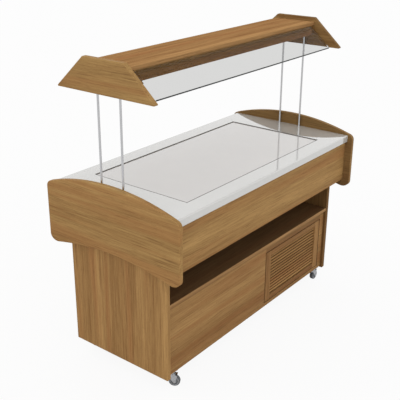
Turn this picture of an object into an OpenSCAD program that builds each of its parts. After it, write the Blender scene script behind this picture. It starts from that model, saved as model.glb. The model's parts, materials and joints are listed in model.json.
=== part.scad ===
// Mobile salad bar: a cold counter on a wheeled wooden cabinet, with a wooden canopy and
// slanted glass carried on four thin posts. X runs along the counter, the louvred face
// looks to -Y, Z is up and the floor under the middle of the counter is the origin.

/* [Counter] */
// Length over the two curved end panels
counter_l = 1500; // [1380:10:1620]
// Depth of the curved end panels
counter_d = 784; // [760:2:820]
// Thickness of the curved end panels
end_panel_t = 24; // [20:1:28]
// Height of the counter top above the floor
counter_z = 888; // [868:1:920]
// Rise of the end panels' crown above the counter top
crown_rise = 62; // [50:1:80]
// Radius of the crown arc of the end panels
crown_r = 1200; // [1100:10:1400]
// Height of the arched lower edge of the end panels, at its middle
arch_z = 634; // [625:1:640]
// Radius of the arched lower edge of the end panels
arch_r = 1200; // [1100:10:1400]
// Rounding of the end panels' upper corners
upper_corner_r = 30; // [20:1:40]
// Rounding of the end panels' lower corners
lower_corner_r = 42; // [34:1:50]
// Thickness of the counter slab
slab_t = 38; // [32:1:44]
// Reach of the curved end panels past the slab's front and back edges
end_reach = 26; // [16:1:34]
// Rounding along the slab's long edges
slab_edge_r = 5; // [3:0.5:8]
// Reach of the slab's edge past the aprons
slab_reach = 46; // [36:1:52]
// Thickness of the aprons
apron_t = 20; // [16:1:24]
// Height of the aprons' lower edge
apron_z = 602; // [594:1:640]

/* [Cold plate] */
// Length of the cold plate
plate_l = 1106; // [1040:2:1140]
// Clearance between the tub's flange and the front and back boards
well_gap = 4; // [3:0.5:8]
// Thickness of the cold plate
plate_t = 12; // [8:1:16]
// Depth of the plate's face below the counter top
plate_drop = 3; // [2:0.5:5]
// Width of the seal round the plate
seal_w = 4; // [3:0.5:6]
// Width of the slab's ledge under the plate
ledge_w = 36; // [34:1:50]
// Depth of the cold tub below the slab
tub_h = 70; // [60:1:90]
// Thickness of the tub's wall
tub_wall = 2; // [1.5:0.5:3]
// Width of the tub's screwing flange
tub_flange_w = 13; // [10:1:14]
// Diameter of the evaporator tube
coil_d = 8; // [6:0.5:9]
// Number of passes of the evaporator tube, an even number
coil_passes = 10; // [8:2:12]
// Distance between two passes of the evaporator tube
coil_pitch = 42; // [34:1:42]
// Distance between the ends of the evaporator's straight passes and the well's ends
coil_end_gap = 57; // [47:1:117]

/* [Cabinet] */
// Batten between each cabinet end and the curved end panel beside it
batten_t = 13; // [12:1:18]
// Thickness of the cabinet's end panels
cab_end_t = 24; // [20:1:28]
// Reach of the aprons past the cabinet ends' edges
apron_reach = 31; // [24:1:36]
// Height of the cabinet ends' lower edge
cab_low_z = 72; // [66:1:78]
// Setback of the front and back boards from the cabinet ends' edges
board_inset = 15; // [12:1:18]
// Thickness of the front board, back board and partition
board_t = 18; // [16:1:19]
// Thickness of the bottom board
bottom_t = 20; // [18:1:24]
// Height of the niche's floor, on top of the shelf
shelf_z = 451; // [440:1:470]
// Thickness of the shelf
shelf_t = 18; // [16:1:22]
// Setback of the shelf's front edge from the cabinet ends' edges
shelf_inset = 2; // [1:0.5:6]
// Height of the rails under the slab
rail_h = 80; // [60:1:90]
// Length of the battens beside the cabinet ends
batten_l = 540; // [400:10:560]
// Height of the battens beside the cabinet ends
batten_h = 190; // [150:5:200]
// Inner width of the pipe duct in the niche's corner
duct_w = 45; // [44:1:54]
// Thickness of the duct's cover
duct_t = 8; // [6:1:10]

/* [Louvred door] */
// Strip of the front board between the door opening and the cabinet end
door_strip = 41; // [39:1:60]
// Length of the door
door_l = 545; // [500:1:560]
// Height of the opening in the front board
opening_h = 295; // [270:1:305]
// Gap all round the door
door_gap = 4; // [3.5:0.5:5]
// Thickness of the door
door_t = 18; // [16:1:18]
// Width of the door's stiles
stile_w = 44; // [36:1:56]
// Width of the door's rails
door_rail_w = 30; // [26:1:44]
// Number of louvre slats
slat_count = 13; // [11:1:14]
// Width of a slat across the louvre
slat_w = 12; // [10:0.5:22]
// Thickness of a slat
slat_t = 5; // [4:0.5:6]
// Tilt of the slats below the horizontal
slat_tilt = 45; // [35:1:48]
// Depth of the slats' housings in the stiles
housing = 6; // [4:1:8]
// Length of the rails' tenons
tenon_l = 14; // [10:1:20]
// Thickness of the rails' tenons
tenon_t = 6; // [5:0.5:8]
// Diameter of the pivot pins
pin_d = 6; // [5:0.5:7]
// Distance from the door's edge to the pivot pins' axis
pivot_inset = 10; // [9:0.5:11]
// Length of a pivot pin inside each part
pin_grip = 14; // [10:1:16]

/* [Posts] */
// Diameter of the posts
post_d = 10; // [8:0.5:11]
// Thickness of the posts' wall
post_wall = 1.5; // [1:0.25:2]
// Distance between the two posts of a pair
post_gap = 128; // [100:2:150]
// Length of the posts held below the slab
post_foot = 110; // [80:5:140]
// Length of the posts held in the canopy
post_head = 44; // [30:2:50]

/* [Canopy] */
// Height of the canopy's top edge above the floor
canopy_z = 1493; // [1480:1:1560]
// Height of the canopy's end panels
canopy_h = 147; // [140:1:160]
// Depth of the canopy's end panels at the bottom
canopy_low_d = 556; // [540:2:580]
// Depth of the canopy's end panels at the top
canopy_top_d = 228; // [210:2:250]
// Thickness of the canopy's end panels
canopy_end_t = 24; // [20:1:28]
// Rounding of the canopy ends' lower tips
canopy_tip_r = 4; // [3:0.5:6]
// Depth of the roof board
roof_d = 234; // [224:2:240]
// Thickness of the roof board
roof_t = 16; // [14:1:18]
// Distance from the canopy's top edge down to the roof board
roof_drop = 21; // [18:1:25]
// Depth over the two fascias
fascia_d = 210; // [200:2:214]
// Height of the fascias
fascia_h = 56; // [50:1:64]
// Thickness of the fascias
fascia_t = 16; // [12:1:20]
// Length of the corner blocks that hold the posts
block_l = 26; // [20:1:34]

/* [Glass] */
// Length of the glass panes
glass_l = 1384; // [1200:2:1400]
// Width of the glass panes, top edge to bottom edge
glass_w = 152; // [130:1:156]
// Thickness of the glass
glass_t = 6; // [5:1:8]
// Slope of the glass below the horizontal
glass_tilt = 42; // [38:1:46]
// Reach of the glass's top edge in front of the fascia
glass_reach = 14; // [13:0.5:18]
// Width of the rail's bearing face behind the glass
bearing_w = 14; // [10:1:18]

/* [Lamp] */
// Length of the lamp tube
lamp_l = 1200; // [1000:10:1220]
// Diameter of the lamp tube
lamp_d = 26; // [16:1:28]
// Width of the lamp batten
lamp_batten_w = 40; // [34:1:50]
// Height of the lamp batten
lamp_batten_h = 20; // [16:1:24]

/* [Casters] */
// Diameter of the caster wheels
wheel_d = 54; // [50:1:56]
// Width of the caster wheels
wheel_w = 20; // [16:1:24]
// Height of a caster from the floor to its plate
caster_h = 79; // [78:1:84]
// Distance from the swivel axis back to the wheel's axle
trail = 18; // [14:1:22]
// Diameter of the caster axles
axle_d = 8; // [6:0.5:8]
// Diameter of the swivel head
swivel_d = 44; // [38:1:46]
// Distance from the cabinet end's inner face to the swivel axis
caster_side = 44; // [32:1:60]
// Distance from the front board's face to the swivel axis
caster_back = 24; // [24:1:40]
// Thickness of the fork's sheet
fork_t = 2.5; // [2:0.25:3]

/* [Cooling unit] */
// Length of the condenser
condenser_l = 340; // [300:10:360]
// Height of the condenser
condenser_h = 256; // [240:2:270]
// Depth of the condenser
condenser_d = 42; // [36:1:46]
// Number of condenser fins
fin_count = 34; // [24:1:36]
// Diameter of the fan
fan_d = 216; // [190:2:224]
// Number of fan blades
blade_count = 5; // [4:1:6]
// Diameter of the compressor's shell
compressor_d = 164; // [140:2:170]
// Height of the compressor's shell
compressor_h = 186; // [160:2:200]

/* [Hidden] */

$fn = 64;
big_arc_fn = 360;
overcut = 1;            // how far a cut runs past the face it opens
slip = 0.1;             // clearance of a piece in its seat
running = 0.05;         // radial clearance of a turning fit
swivel_gap = 0.3;       // gap between parts that turn past each other

teak = "peru";
dark_teak = "sienna";
stone = "gainsboro";
steel = "silver";
zinc = "lightgray";
copper = "darkorange";
black = "dimgray";

// Planes of the counter
inner_x = counter_l / 2 - end_panel_t;
slab_d = counter_d - 2 * end_reach;
slab_low_z = counter_z - slab_t;
crown_z = counter_z + crown_rise;
apron_y = slab_d / 2 - slab_reach;
apron_in_y = apron_y - apron_t;

// Planes of the cabinet
cabinet_d = 2 * (apron_y - apron_reach);
cab_x = inner_x - batten_t;
cab_in_x = cab_x - cab_end_t;
face_y = cabinet_d / 2 - board_inset;
board_in_y = face_y - board_t;
bottom_z = caster_h;
bay_z = bottom_z + bottom_t;
shelf_low_z = shelf_z - shelf_t;
shelf_front_y = cabinet_d / 2 - shelf_inset;

// Cold well, as deep as the boards leave room for its tub
seat_z = counter_z - plate_drop - plate_t;
well_x = plate_l / 2 - ledge_w;
well_y = board_in_y - well_gap - tub_flange_w - tub_wall;
plate_d = 2 * (well_y + ledge_w);
tub_z = slab_low_z - tub_h;
coil_run = 2 * (well_x - coil_end_gap);
coil_y = coil_pitch * (coil_passes - 1) / 2;
coil_z = seat_z - coil_d / 2;
coil_pocket = coil_d + 1;
pocket_margin = 6;
leg_slip = 0.5;

// Louvred door
opening_x1 = cab_in_x - door_strip;
door_x1 = opening_x1 - door_gap;
door_x0 = door_x1 - door_l;
opening_x0 = door_x0 - door_gap;
opening_z1 = bay_z + opening_h;
door_z0 = bay_z + door_gap;
door_z1 = opening_z1 - door_gap;
door_y0 = -face_y;
door_y1 = -face_y + door_t;
door_mid_y = (door_y0 + door_y1) / 2;
pivot_x = door_x1 - pivot_inset;
field_x0 = door_x0 + stile_w;
field_x1 = door_x1 - stile_w;
field_z0 = door_z0 + door_rail_w;
field_z1 = door_z1 - door_rail_w;
partition_gap = 17;
slat_pitch = (field_z1 - field_z0) / slat_count;
partition_x1 = opening_x0 - partition_gap;
partition_x0 = partition_x1 - board_t;

// Posts and canopy
post_x = inner_x - batten_t / 2;
post_y = post_gap / 2;
post_z0 = slab_low_z - post_foot;
roof_z1 = canopy_z - roof_drop;
roof_z0 = roof_z1 - roof_t;
fascia_z0 = roof_z0 - fascia_h;
post_z1 = fascia_z0 + post_head;
canopy_in_x = counter_l / 2 - canopy_end_t;
canopy_low_z = canopy_z - canopy_h;
fascia_in_y = fascia_d / 2 - fascia_t;

// Glass, in the plane of depth and height
glass_drop = 5;
glass_top = [fascia_d / 2 + glass_reach, roof_z0 - glass_drop];
glass_down = [cos(glass_tilt), -sin(glass_tilt)];
glass_out = [sin(glass_tilt), cos(glass_tilt)];

// Casters
caster_x = cab_in_x - caster_side;
caster_y = face_y - caster_back;
wheel_r = wheel_d / 2;
wheel_side_gap = 2;
wheel_top_gap = 4;
race_h = 4;
cheek_in = wheel_w / 2 + wheel_side_gap;
crown_low_z = wheel_d + wheel_top_gap;
crown_high_z = crown_low_z + fork_t;
race_low_z = crown_high_z + race_h;
kingpin_r = 4.5;
plate_sheet = 2.5;
front_left_turn = -60;
front_right_turn = 0;
back_left_turn = 0;
back_right_turn = 30;

// Cooling unit
tray_t = 2;
tray_rim = 18;
unit_x = (partition_x1 + cab_in_x) / 2;
unit_gap = 24;
condenser_y0 = -board_in_y + unit_gap;
condenser_y1 = condenser_y0 + condenser_d;
condenser_z0 = bay_z + tray_t;
condenser_z1 = condenser_z0 + condenser_h;
fan_z = (condenser_z0 + condenser_z1) / 2;
shroud_h = 18;
shroud_t = 2;
shroud_y1 = condenser_y1 + shroud_h;
hub_d = 46;
hub_l = 30;
shaft_d = 8;
fan_gap = 2;
motor_gap = 4;
fan_y0 = shroud_y1 + fan_gap;
motor_y0 = fan_y0 + hub_l + motor_gap;
motor_d = 84;
motor_l = 56;
compressor_reach = 110;
compressor_x = unit_x + compressor_reach;
compressor_y = 100;
grommet_h = 16;
foot_t = 4;
compressor_z0 = bay_z + tray_t + grommet_h + foot_t;
side_plate_t = 3;
condenser_x1 = unit_x + condenser_l / 2;

// Pipe duct in the niche's back right corner
duct_drop = 30;
duct_x0 = cab_in_x - duct_w;
duct_y0 = board_in_y - duct_w;
pipe_d = 8;
pipe_bend_z = tub_z - 12;
pipe_stagger = 14;

// ---------------------------------------------------------------- shared forms

// A board or block from its lowest corner to its highest one
module board(low, high) {
    translate(low) cube(high - low);
}

// The same piece at the front and the back
module front_and_back() {
    children();
    mirror([0, 1, 0]) children();
}

// The same piece at the left and the right
module left_and_right() {
    children();
    mirror([1, 0, 0]) children();
}

// A profile drawn in depth and height, drawn out along X between two planes
module along_x(x0, x1) {
    translate([x0, 0, 0]) rotate([90, 0, 90]) linear_extrude(x1 - x0) children();
}

// A rectangle with its four corners rounded, from its low corner
module rounded_rect(size, r) {
    translate([r, 0]) square([size[0] - 2 * r, size[1]]);
    translate([0, r]) square([size[0], size[1] - 2 * r]);
    for (x = [r, size[0] - r], y = [r, size[1] - r]) translate([x, y]) circle(r);
}

// A ring with a square section round the Z axis
module ring(r_out, r_in, h) {
    difference() {
        cylinder(h = h, r = r_out);
        translate([0, 0, -overcut]) cylinder(h = h + 2 * overcut, r = r_in);
    }
}

// A tube that follows its points, with round elbows
module pipe(points, d) {
    for (i = [0 : len(points) - 2]) {
        step = points[i + 1] - points[i];
        run = norm(step);
        turn = atan2(step[1], step[0]);
        tip = acos(step[2] / run);
        translate(points[i]) rotate([0, tip, turn]) cylinder(h = run, d = d, $fn = 24);
        if (i > 0) translate(points[i]) sphere(d = d, $fn = 24);
    }
}

// ---------------------------------------------------------------- cabinet

module cabinet_end(side) {
    x0 = side > 0 ? cab_in_x : -cab_x;
    color(teak)
    board([x0, -cabinet_d / 2, cab_low_z], [x0 + cab_end_t, cabinet_d / 2, slab_low_z]);
}

module bottom_board() {
    color(teak)
    difference() {
        board([-cab_in_x, -face_y, bottom_z], [cab_in_x, face_y, bay_z]);
        translate([pivot_x, door_mid_y, bay_z - pin_grip])
            cylinder(h = pin_grip + overcut, r = pin_d / 2 + running);
        at_plate_corners() translate([0, 0, bottom_z - overcut])
            cylinder(h = screw_l - plate_sheet + overcut, r = screw_d / 2 + slip);
    }
}

module front_board() {
    color(teak)
    difference() {
        board([-cab_in_x, -face_y, bay_z], [cab_in_x, -board_in_y, shelf_low_z]);
        board([opening_x0, -face_y - overcut, bay_z - overcut],
              [opening_x1, -board_in_y + overcut, opening_z1]);
        translate([pivot_x, door_mid_y, opening_z1 - overcut])
            cylinder(h = pin_grip + overcut, r = pin_d / 2 + running);
    }
}

gland_side = 110;
gland_rise = 60;
gland_x = cab_in_x - gland_side;
gland_z = bay_z + gland_rise;
gland_d = 16;

module back_board() {
    color(teak)
    difference() {
        board([-cab_in_x, board_in_y, bay_z], [cab_in_x, face_y, slab_low_z]);
        translate([gland_x, face_y + overcut, gland_z]) rotate([90, 0, 0])
            cylinder(h = board_t + 2 * overcut, d = gland_d + 2 * slip);
    }
}

module partition() {
    color(teak)
    board([partition_x0, -board_in_y, bay_z], [partition_x1, board_in_y, shelf_low_z]);
}

shelf_nose_r = 3;

module shelf_board() {
    color(teak)
    difference() {
        along_x(-cab_in_x, cab_in_x)
            translate([-shelf_front_y, shelf_low_z])
            rounded_nose([shelf_front_y + board_in_y, shelf_t], shelf_nose_r);
        // Notch for the pipe duct
        board([duct_x0 - duct_t - slip, duct_y0 - duct_t - slip, shelf_low_z - overcut],
              [cab_in_x + overcut, board_in_y + overcut, shelf_z + overcut]);
    }
}

// A board's section whose front edge alone is eased
module rounded_nose(size, r) {
    translate([r, 0]) square([size[0] - r, size[1]]);
    translate([0, r]) square([size[0], size[1] - 2 * r]);
    for (y = [r, size[1] - r]) translate([r, y]) circle(r);
}

module slab_rails() {
    color(dark_teak)
    front_and_back()
        board([-cab_in_x, face_y, slab_low_z - rail_h], [cab_in_x, apron_in_y, slab_low_z]);
}

module end_battens() {
    color(dark_teak)
    left_and_right() difference() {
        board([cab_x, -batten_l / 2, slab_low_z - batten_h],
              [inner_x, batten_l / 2, slab_low_z]);
        front_and_back()
            translate([post_x, post_y, post_z0])
            cylinder(h = post_foot + overcut, r = post_d / 2 + slip);
    }
}

module pipe_duct() {
    color(teak)
    difference() {
        board([duct_x0 - duct_t, duct_y0 - duct_t, shelf_low_z],
              [cab_in_x, board_in_y, tub_z - duct_drop]);
        board([duct_x0, duct_y0, shelf_low_z - overcut],
              [cab_in_x + overcut, board_in_y + overcut, tub_z]);
    }
}

// ---------------------------------------------------------------- counter

// Half depth and height of the centre of a corner arc that touches the vertical edge
// and runs into an arc of radius r about [0, arc_zc], from inside it or from outside it
function inside_corner(r, arc_zc, corner_r) =
    [counter_d / 2 - corner_r,
     arc_zc + sqrt(pow(r - corner_r, 2) - pow(counter_d / 2 - corner_r, 2))];
function outside_corner(r, arc_zc, corner_r) =
    [counter_d / 2 - corner_r,
     arc_zc + sqrt(pow(r + corner_r, 2) - pow(counter_d / 2 - corner_r, 2))];

crown_c = crown_z - crown_r;
arch_c = arch_z - arch_r;
upper_corner = inside_corner(crown_r, crown_c, upper_corner_r);
lower_corner = outside_corner(arch_r, arch_c, lower_corner_r);
// Where the corner arcs touch the crown and the arch
upper_touch = [0, crown_c] + (upper_corner - [0, crown_c]) * crown_r / (crown_r - upper_corner_r);
lower_touch = [0, arch_c] + (lower_corner - [0, arch_c]) * arch_r / (arch_r + lower_corner_r);

// Outline of a curved end panel, with a crowned top and an arched lower edge
module end_panel_outline() {
    difference() {
        intersection() {
            translate([0, crown_c]) circle(crown_r, $fn = big_arc_fn);
            translate([-counter_d / 2, arch_c]) square([counter_d, crown_z - arch_c]);
        }
        translate([0, arch_c]) circle(arch_r, $fn = big_arc_fn);
        for (s = [-1, 1]) scale_y(s) {
            difference() {
                polygon([upper_corner, upper_touch, [upper_touch[0], crown_z],
                         [counter_d / 2 + overcut, crown_z],
                         [counter_d / 2 + overcut, upper_corner[1]]]);
                translate(upper_corner) circle(upper_corner_r);
            }
            difference() {
                polygon([lower_corner, lower_touch, [lower_touch[0], arch_c],
                         [counter_d / 2 + overcut, arch_c],
                         [counter_d / 2 + overcut, lower_corner[1]]]);
                translate(lower_corner) circle(lower_corner_r);
            }
        }
    }
}

// The drawing as it is, or mirrored to the other side of the middle
module scale_y(s) {
    if (s > 0) children();
    else mirror([1, 0]) children();
}

module counter_end(side) {
    x0 = side > 0 ? inner_x : -counter_l / 2;
    color(teak) along_x(x0, x0 + end_panel_t) end_panel_outline();
}

module apron(side) {
    y0 = side > 0 ? apron_in_y : -apron_y;
    color(teak)
    board([-inner_x, y0, apron_z], [inner_x, y0 + apron_t, slab_low_z]);
}

module counter_slab() {
    color(stone)
    difference() {
        along_x(-inner_x, inner_x)
            translate([-slab_d / 2, slab_low_z]) rounded_rect([slab_d, slab_t], slab_edge_r);
        board([-plate_l / 2 - seal_w, -plate_d / 2 - seal_w, seat_z],
              [plate_l / 2 + seal_w, plate_d / 2 + seal_w, counter_z + overcut]);
        board([-well_x, -well_y, slab_low_z - overcut], [well_x, well_y, counter_z]);
        left_and_right() front_and_back()
            translate([post_x, post_y, slab_low_z - overcut])
            cylinder(h = slab_t + 2 * overcut, r = post_d / 2 + slip);
    }
}

module cold_plate() {
    color(steel)
    board([-plate_l / 2, -plate_d / 2, seat_z], [plate_l / 2, plate_d / 2, seat_z + plate_t]);
}

// How far the seal stands above the counter top
seal_rise = 0.5;

module plate_seal() {
    color(black)
    translate([0, 0, seat_z]) linear_extrude(counter_z + seal_rise - seat_z) difference() {
        square([plate_l + 2 * seal_w, plate_d + 2 * seal_w], center = true);
        square([plate_l, plate_d], center = true);
    }
}

// Where the evaporator's two legs go down through the well
leg_x = coil_run / 2 + coil_d / 2;
leg_y = coil_y;

module leg_holes(z0, z1) {
    front_and_back()
        translate([leg_x, leg_y, z0]) cylinder(h = z1 - z0, r = coil_d / 2 + leg_slip);
}

module cold_tub() {
    x1 = well_x + tub_wall;
    y1 = well_y + tub_wall;
    color(steel)
    difference() {
        union() {
            board([-x1, -y1, tub_z], [x1, y1, slab_low_z]);
            board([-x1 - tub_flange_w, -y1 - tub_flange_w, slab_low_z - tub_wall],
                  [x1 + tub_flange_w, y1 + tub_flange_w, slab_low_z]);
        }
        board([-well_x, -well_y, tub_z + tub_wall], [well_x, well_y, slab_low_z + overcut]);
        leg_holes(tub_z - overcut, tub_z + tub_wall + overcut);
    }
}

module foam_core() {
    bend_x = coil_run / 2 + coil_pitch / 2 + coil_d / 2 + pocket_margin;
    pocket_y = coil_y + coil_d / 2 + pocket_margin;
    color("khaki")
    difference() {
        board([-well_x, -well_y, tub_z + tub_wall], [well_x, well_y, seat_z]);
        board([-bend_x, -pocket_y, seat_z - coil_pocket], [bend_x, pocket_y, seat_z + overcut]);
        leg_holes(tub_z, seat_z);
    }
}

// One half turn of the evaporator tube, bulging to +X
module return_bend() {
    rotate([0, 0, -90])
        rotate_extrude(angle = 180) translate([coil_pitch / 2, 0]) circle(d = coil_d, $fn = 24);
}

module evaporator_coil() {
    color(copper)
    translate([0, 0, coil_z]) {
        for (i = [0 : coil_passes - 1])
            translate([-coil_run / 2, -coil_y + i * coil_pitch, 0]) rotate([0, 90, 0])
                cylinder(h = coil_run, d = coil_d, $fn = 24);
        for (i = [0 : coil_passes - 2]) {
            y = -coil_y + (i + 0.5) * coil_pitch;
            if (i % 2 == 0) translate([-coil_run / 2, y, 0]) mirror([1, 0, 0]) return_bend();
            else translate([coil_run / 2, y, 0]) return_bend();
        }
        for (s = [-1, 1]) translate([coil_run / 2, s * coil_y, 0])
            pipe([[-1, 0, 0], [coil_d / 2, 0, 0], [coil_d / 2, 0, tub_z - coil_z - 2]], coil_d);
    }
}

// ---------------------------------------------------------------- posts and canopy

module posts(side) {
    color(zinc)
    front_and_back()
        translate([side * post_x, post_y, post_z0])
        ring(post_d / 2, post_d / 2 - post_wall, post_z1 - post_z0);
}

// Outline of a canopy end: narrow at the top, wide below, with rounded lower tips
module canopy_end_outline() {
    low = canopy_low_d / 2;
    top = canopy_top_d / 2;
    slope = atan2(canopy_h, low - top);
    // Distance from the sharp tip to where its rounding touches each edge
    tip_run = canopy_tip_r / tan(slope / 2);
    tip_c = [low - tip_run, canopy_low_z + canopy_tip_r];
    tip_touch = [low - tip_run * cos(slope), canopy_low_z + tip_run * sin(slope)];
    difference() {
        polygon([[-low, canopy_low_z], [low, canopy_low_z], [top, canopy_z], [-top, canopy_z]]);
        for (s = [-1, 1]) scale_y(s) difference() {
            polygon([[low - tip_run, canopy_low_z - overcut], [low + overcut, canopy_low_z - overcut],
                     tip_touch + [overcut, overcut], tip_touch, tip_c, [low - tip_run, canopy_low_z]]);
            translate(tip_c) circle(canopy_tip_r);
        }
    }
}

module canopy_end(side) {
    x0 = side > 0 ? canopy_in_x : -counter_l / 2;
    color(teak) along_x(x0, x0 + canopy_end_t) canopy_end_outline();
}

module roof_board() {
    color(teak)
    board([-canopy_in_x, -roof_d / 2, roof_z0], [canopy_in_x, roof_d / 2, roof_z1]);
}

module fascia(side) {
    y0 = side > 0 ? fascia_in_y : -fascia_d / 2;
    color(dark_teak)
    board([-canopy_in_x, y0, fascia_z0], [canopy_in_x, y0 + fascia_t, roof_z0]);
}

module post_blocks() {
    color(dark_teak)
    left_and_right() difference() {
        board([canopy_in_x - block_l, -fascia_in_y, fascia_z0],
              [canopy_in_x, fascia_in_y, roof_z0]);
        front_and_back()
            translate([post_x, post_y, fascia_z0 - overcut])
            cylinder(h = post_head + overcut, r = post_d / 2 + slip);
    }
}

module glass_pane(side) {
    color("lightblue", 0.5)
    along_x(-glass_l / 2, glass_l / 2) scale_y(side)
        translate(glass_top) rotate(-glass_tilt)
        translate([0, -glass_t / 2]) square([glass_w, glass_t]);
}

// Wedge under the roof board's overhang that the glass is bonded to
module glass_rails() {
    back_top = glass_top - glass_out * glass_t / 2;
    back_low = back_top + glass_down * bearing_w;
    color(black)
    along_x(-glass_l / 2, glass_l / 2) for (s = [-1, 1]) scale_y(s)
        polygon([[fascia_d / 2, roof_z0], [min(roof_d / 2, back_top[0]), roof_z0], back_top, back_low,
                 [fascia_d / 2, back_low[1]]]);
}

lamp_gap = 3;
lamp_z = roof_z0 - lamp_batten_h - lamp_d / 2 - lamp_gap;
holder_t = 10;
lamp_pin_d = 2.4;
lamp_pin_l = 6;

module lamp_batten() {
    color("whitesmoke") {
        board([-lamp_l / 2 - holder_t, -lamp_batten_w / 2, roof_z0 - lamp_batten_h],
              [lamp_l / 2 + holder_t, lamp_batten_w / 2, roof_z0]);
        left_and_right() difference() {
            board([lamp_l / 2, -lamp_d / 2, lamp_z - lamp_d / 4],
                  [lamp_l / 2 + holder_t, lamp_d / 2, roof_z0 - lamp_batten_h]);
            for (y = [-1, 1]) translate([lamp_l / 2 - overcut, y * lamp_d / 4, lamp_z])
                rotate([0, 90, 0]) cylinder(h = lamp_pin_l + 1 + overcut, r = lamp_pin_d / 2 + swivel_gap);
        }
    }
}

module lamp_tube() {
    cap_l = 14;
    color("white") {
        translate([-lamp_l / 2 + swivel_gap, 0, lamp_z]) rotate([0, 90, 0])
            cylinder(h = lamp_l - 2 * swivel_gap, d = lamp_d);
        left_and_right() for (y = [-1, 1])
            translate([lamp_l / 2 - cap_l, y * lamp_d / 4, lamp_z]) rotate([0, 90, 0])
            cylinder(h = cap_l + lamp_pin_l, d = lamp_pin_d, $fn = 24);
    }
}

// ---------------------------------------------------------------- louvred door

// A slat's section across the louvre, centred on its own middle, front edge low
module slat_section(grow) {
    w = slat_w + 2 * grow;
    t = slat_t + 2 * grow;
    rotate(slat_tilt) {
        square([w - t, t], center = true);
        for (s = [-1, 1]) translate([s * (w - t) / 2, 0]) circle(t / 2, $fn = 24);
    }
}

// Every slat, or its housing when grown by a clearance
module slats(x0, x1, grow) {
    for (i = [0 : slat_count - 1])
        along_x(x0, x1)
        translate([door_mid_y, field_z0 + (i + 0.5) * slat_pitch]) slat_section(grow);
}

module rail_tenons(grow) {
    for (z = [door_z0 + door_rail_w / 2, door_z1 - door_rail_w / 2])
        board([field_x0 - tenon_l - grow, door_mid_y - tenon_t / 2 - grow, z - door_rail_w / 4 - grow],
              [field_x1 + tenon_l + grow, door_mid_y + tenon_t / 2 + grow, z + door_rail_w / 4 + grow]);
}

pin_end_gap = 1;

module pins(grow) {
    for (z = [door_z0 - door_gap - pin_grip + pin_end_gap, door_z1 - pin_grip])
        translate([pivot_x, door_mid_y, z])
        cylinder(h = 2 * pin_grip + door_gap - pin_end_gap, r = pin_d / 2 + grow);
}

module door_stiles() {
    color(teak)
    difference() {
        union() {
            board([door_x0, door_y0, door_z0], [field_x0, door_y1, door_z1]);
            board([field_x1, door_y0, door_z0], [door_x1, door_y1, door_z1]);
        }
        slats(field_x0 - housing, field_x1 + housing, slip);
        rail_tenons(slip);
        pins(slip);
    }
}

module door_rails() {
    color(teak) {
        board([field_x0, door_y0, door_z0], [field_x1, door_y1, field_z0]);
        board([field_x0, door_y0, field_z1], [field_x1, door_y1, door_z1]);
        difference() {
            rail_tenons(0);
            board([field_x0, door_y0, door_z0], [field_x1, door_y1, door_z1]);
        }
    }
}

module door_slats() {
    color(teak) slats(field_x0 - housing + slip, field_x1 + housing - slip, 0);
}

module door_pins() {
    color(steel) pins(0);
}

catch_z = (door_z0 + door_z1) / 2;
catch_h = 18;
catch_d = 46;
plate_side = 20;
catch_plate_t = 1.5;
catch_x = door_x0 + plate_side;

module catch_plate() {
    color(steel)
    board([catch_x - plate_side / 2, door_y1, catch_z - plate_side / 2],
          [catch_x + plate_side / 2, door_y1 + catch_plate_t, catch_z + plate_side / 2]);
}

// A magnet between two pole strips, in a housing on the partition's face
module magnet_catch() {
    pole_reach = 3;
    pole_inset = 2;
    pole_t = 2;
    pole_y = door_y1 + catch_plate_t + swivel_gap;
    housing_y = pole_y + pole_reach;
    color(black) {
        board([partition_x1, housing_y, catch_z - catch_h / 2],
              [catch_x + plate_side / 2, housing_y + catch_d, catch_z + catch_h / 2]);
        for (x = [catch_x - plate_side / 2 + pole_t, catch_x + plate_side / 2 - 2 * pole_t])
            board([x, pole_y, catch_z - catch_h / 2 + pole_inset],
                  [x + pole_t, housing_y, catch_z + catch_h / 2 - pole_inset]);
    }
}

// ---------------------------------------------------------------- cooling unit

module unit_tray() {
    side_margin = 20;
    front_margin = 12;
    back_margin = 30;
    x0 = unit_x - condenser_l / 2 - side_margin;
    x1 = cab_in_x - unit_gap;
    y0 = condenser_y0 - front_margin;
    y1 = compressor_y + compressor_d / 2 + back_margin;
    color(zinc)
    difference() {
        board([x0, y0, bay_z], [x1, y1, bay_z + tray_rim]);
        board([x0 + tray_t, y0 + tray_t, bay_z + tray_t],
              [x1 - tray_t, y1 - tray_t, bay_z + tray_rim + overcut]);
    }
}

module compressor() {
    r = compressor_d / 2;
    shoulder = 38;
    foot_r = 22;
    weld_z = compressor_h * 0.45;
    weld_w = 5;
    foot_w = compressor_d - 30;
    foot_d = 34;
    grommet_d = 24;
    strap_w = 24;
    cover = [56, 34, 62];
    cover_z = compressor_h * 0.38;
    cover_bite = 6;
    color(black)
    translate([compressor_x, compressor_y, compressor_z0]) {
        rotate_extrude() {
            translate([0, foot_r]) square([r, compressor_h - foot_r - shoulder]);
            square([r - foot_r, compressor_h]);
            square([r - shoulder, compressor_h]);
            intersection() {
                translate([r - foot_r, foot_r]) circle(foot_r);
                translate([r - foot_r, 0]) square([foot_r, foot_r]);
            }
            intersection() {
                translate([r - shoulder, compressor_h - shoulder]) circle(shoulder);
                translate([0, compressor_h - shoulder]) square([r, shoulder]);
            }
            translate([0, weld_z]) square([r + weld_w, weld_w]);
        }
        // Mounting feet with their rubber grommets
        for (x = [-1, 1], y = [-1, 1]) {
            translate([x * foot_w / 2, y * foot_w / 2, 0]) {
                cylinder(h = foot_t, d = foot_d);
                translate([0, 0, -grommet_h - foot_t])
                    cylinder(h = grommet_h + foot_t, d = grommet_d);
            }
        }
        for (y = [-1, 1]) translate([-foot_w / 2, y * foot_w / 2 - strap_w / 2, 0])
            cube([foot_w, strap_w, foot_t]);
        // Terminal cover
        translate([-cover[0] / 2, r - cover_bite, cover_z]) cube(cover);
    }
}

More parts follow.
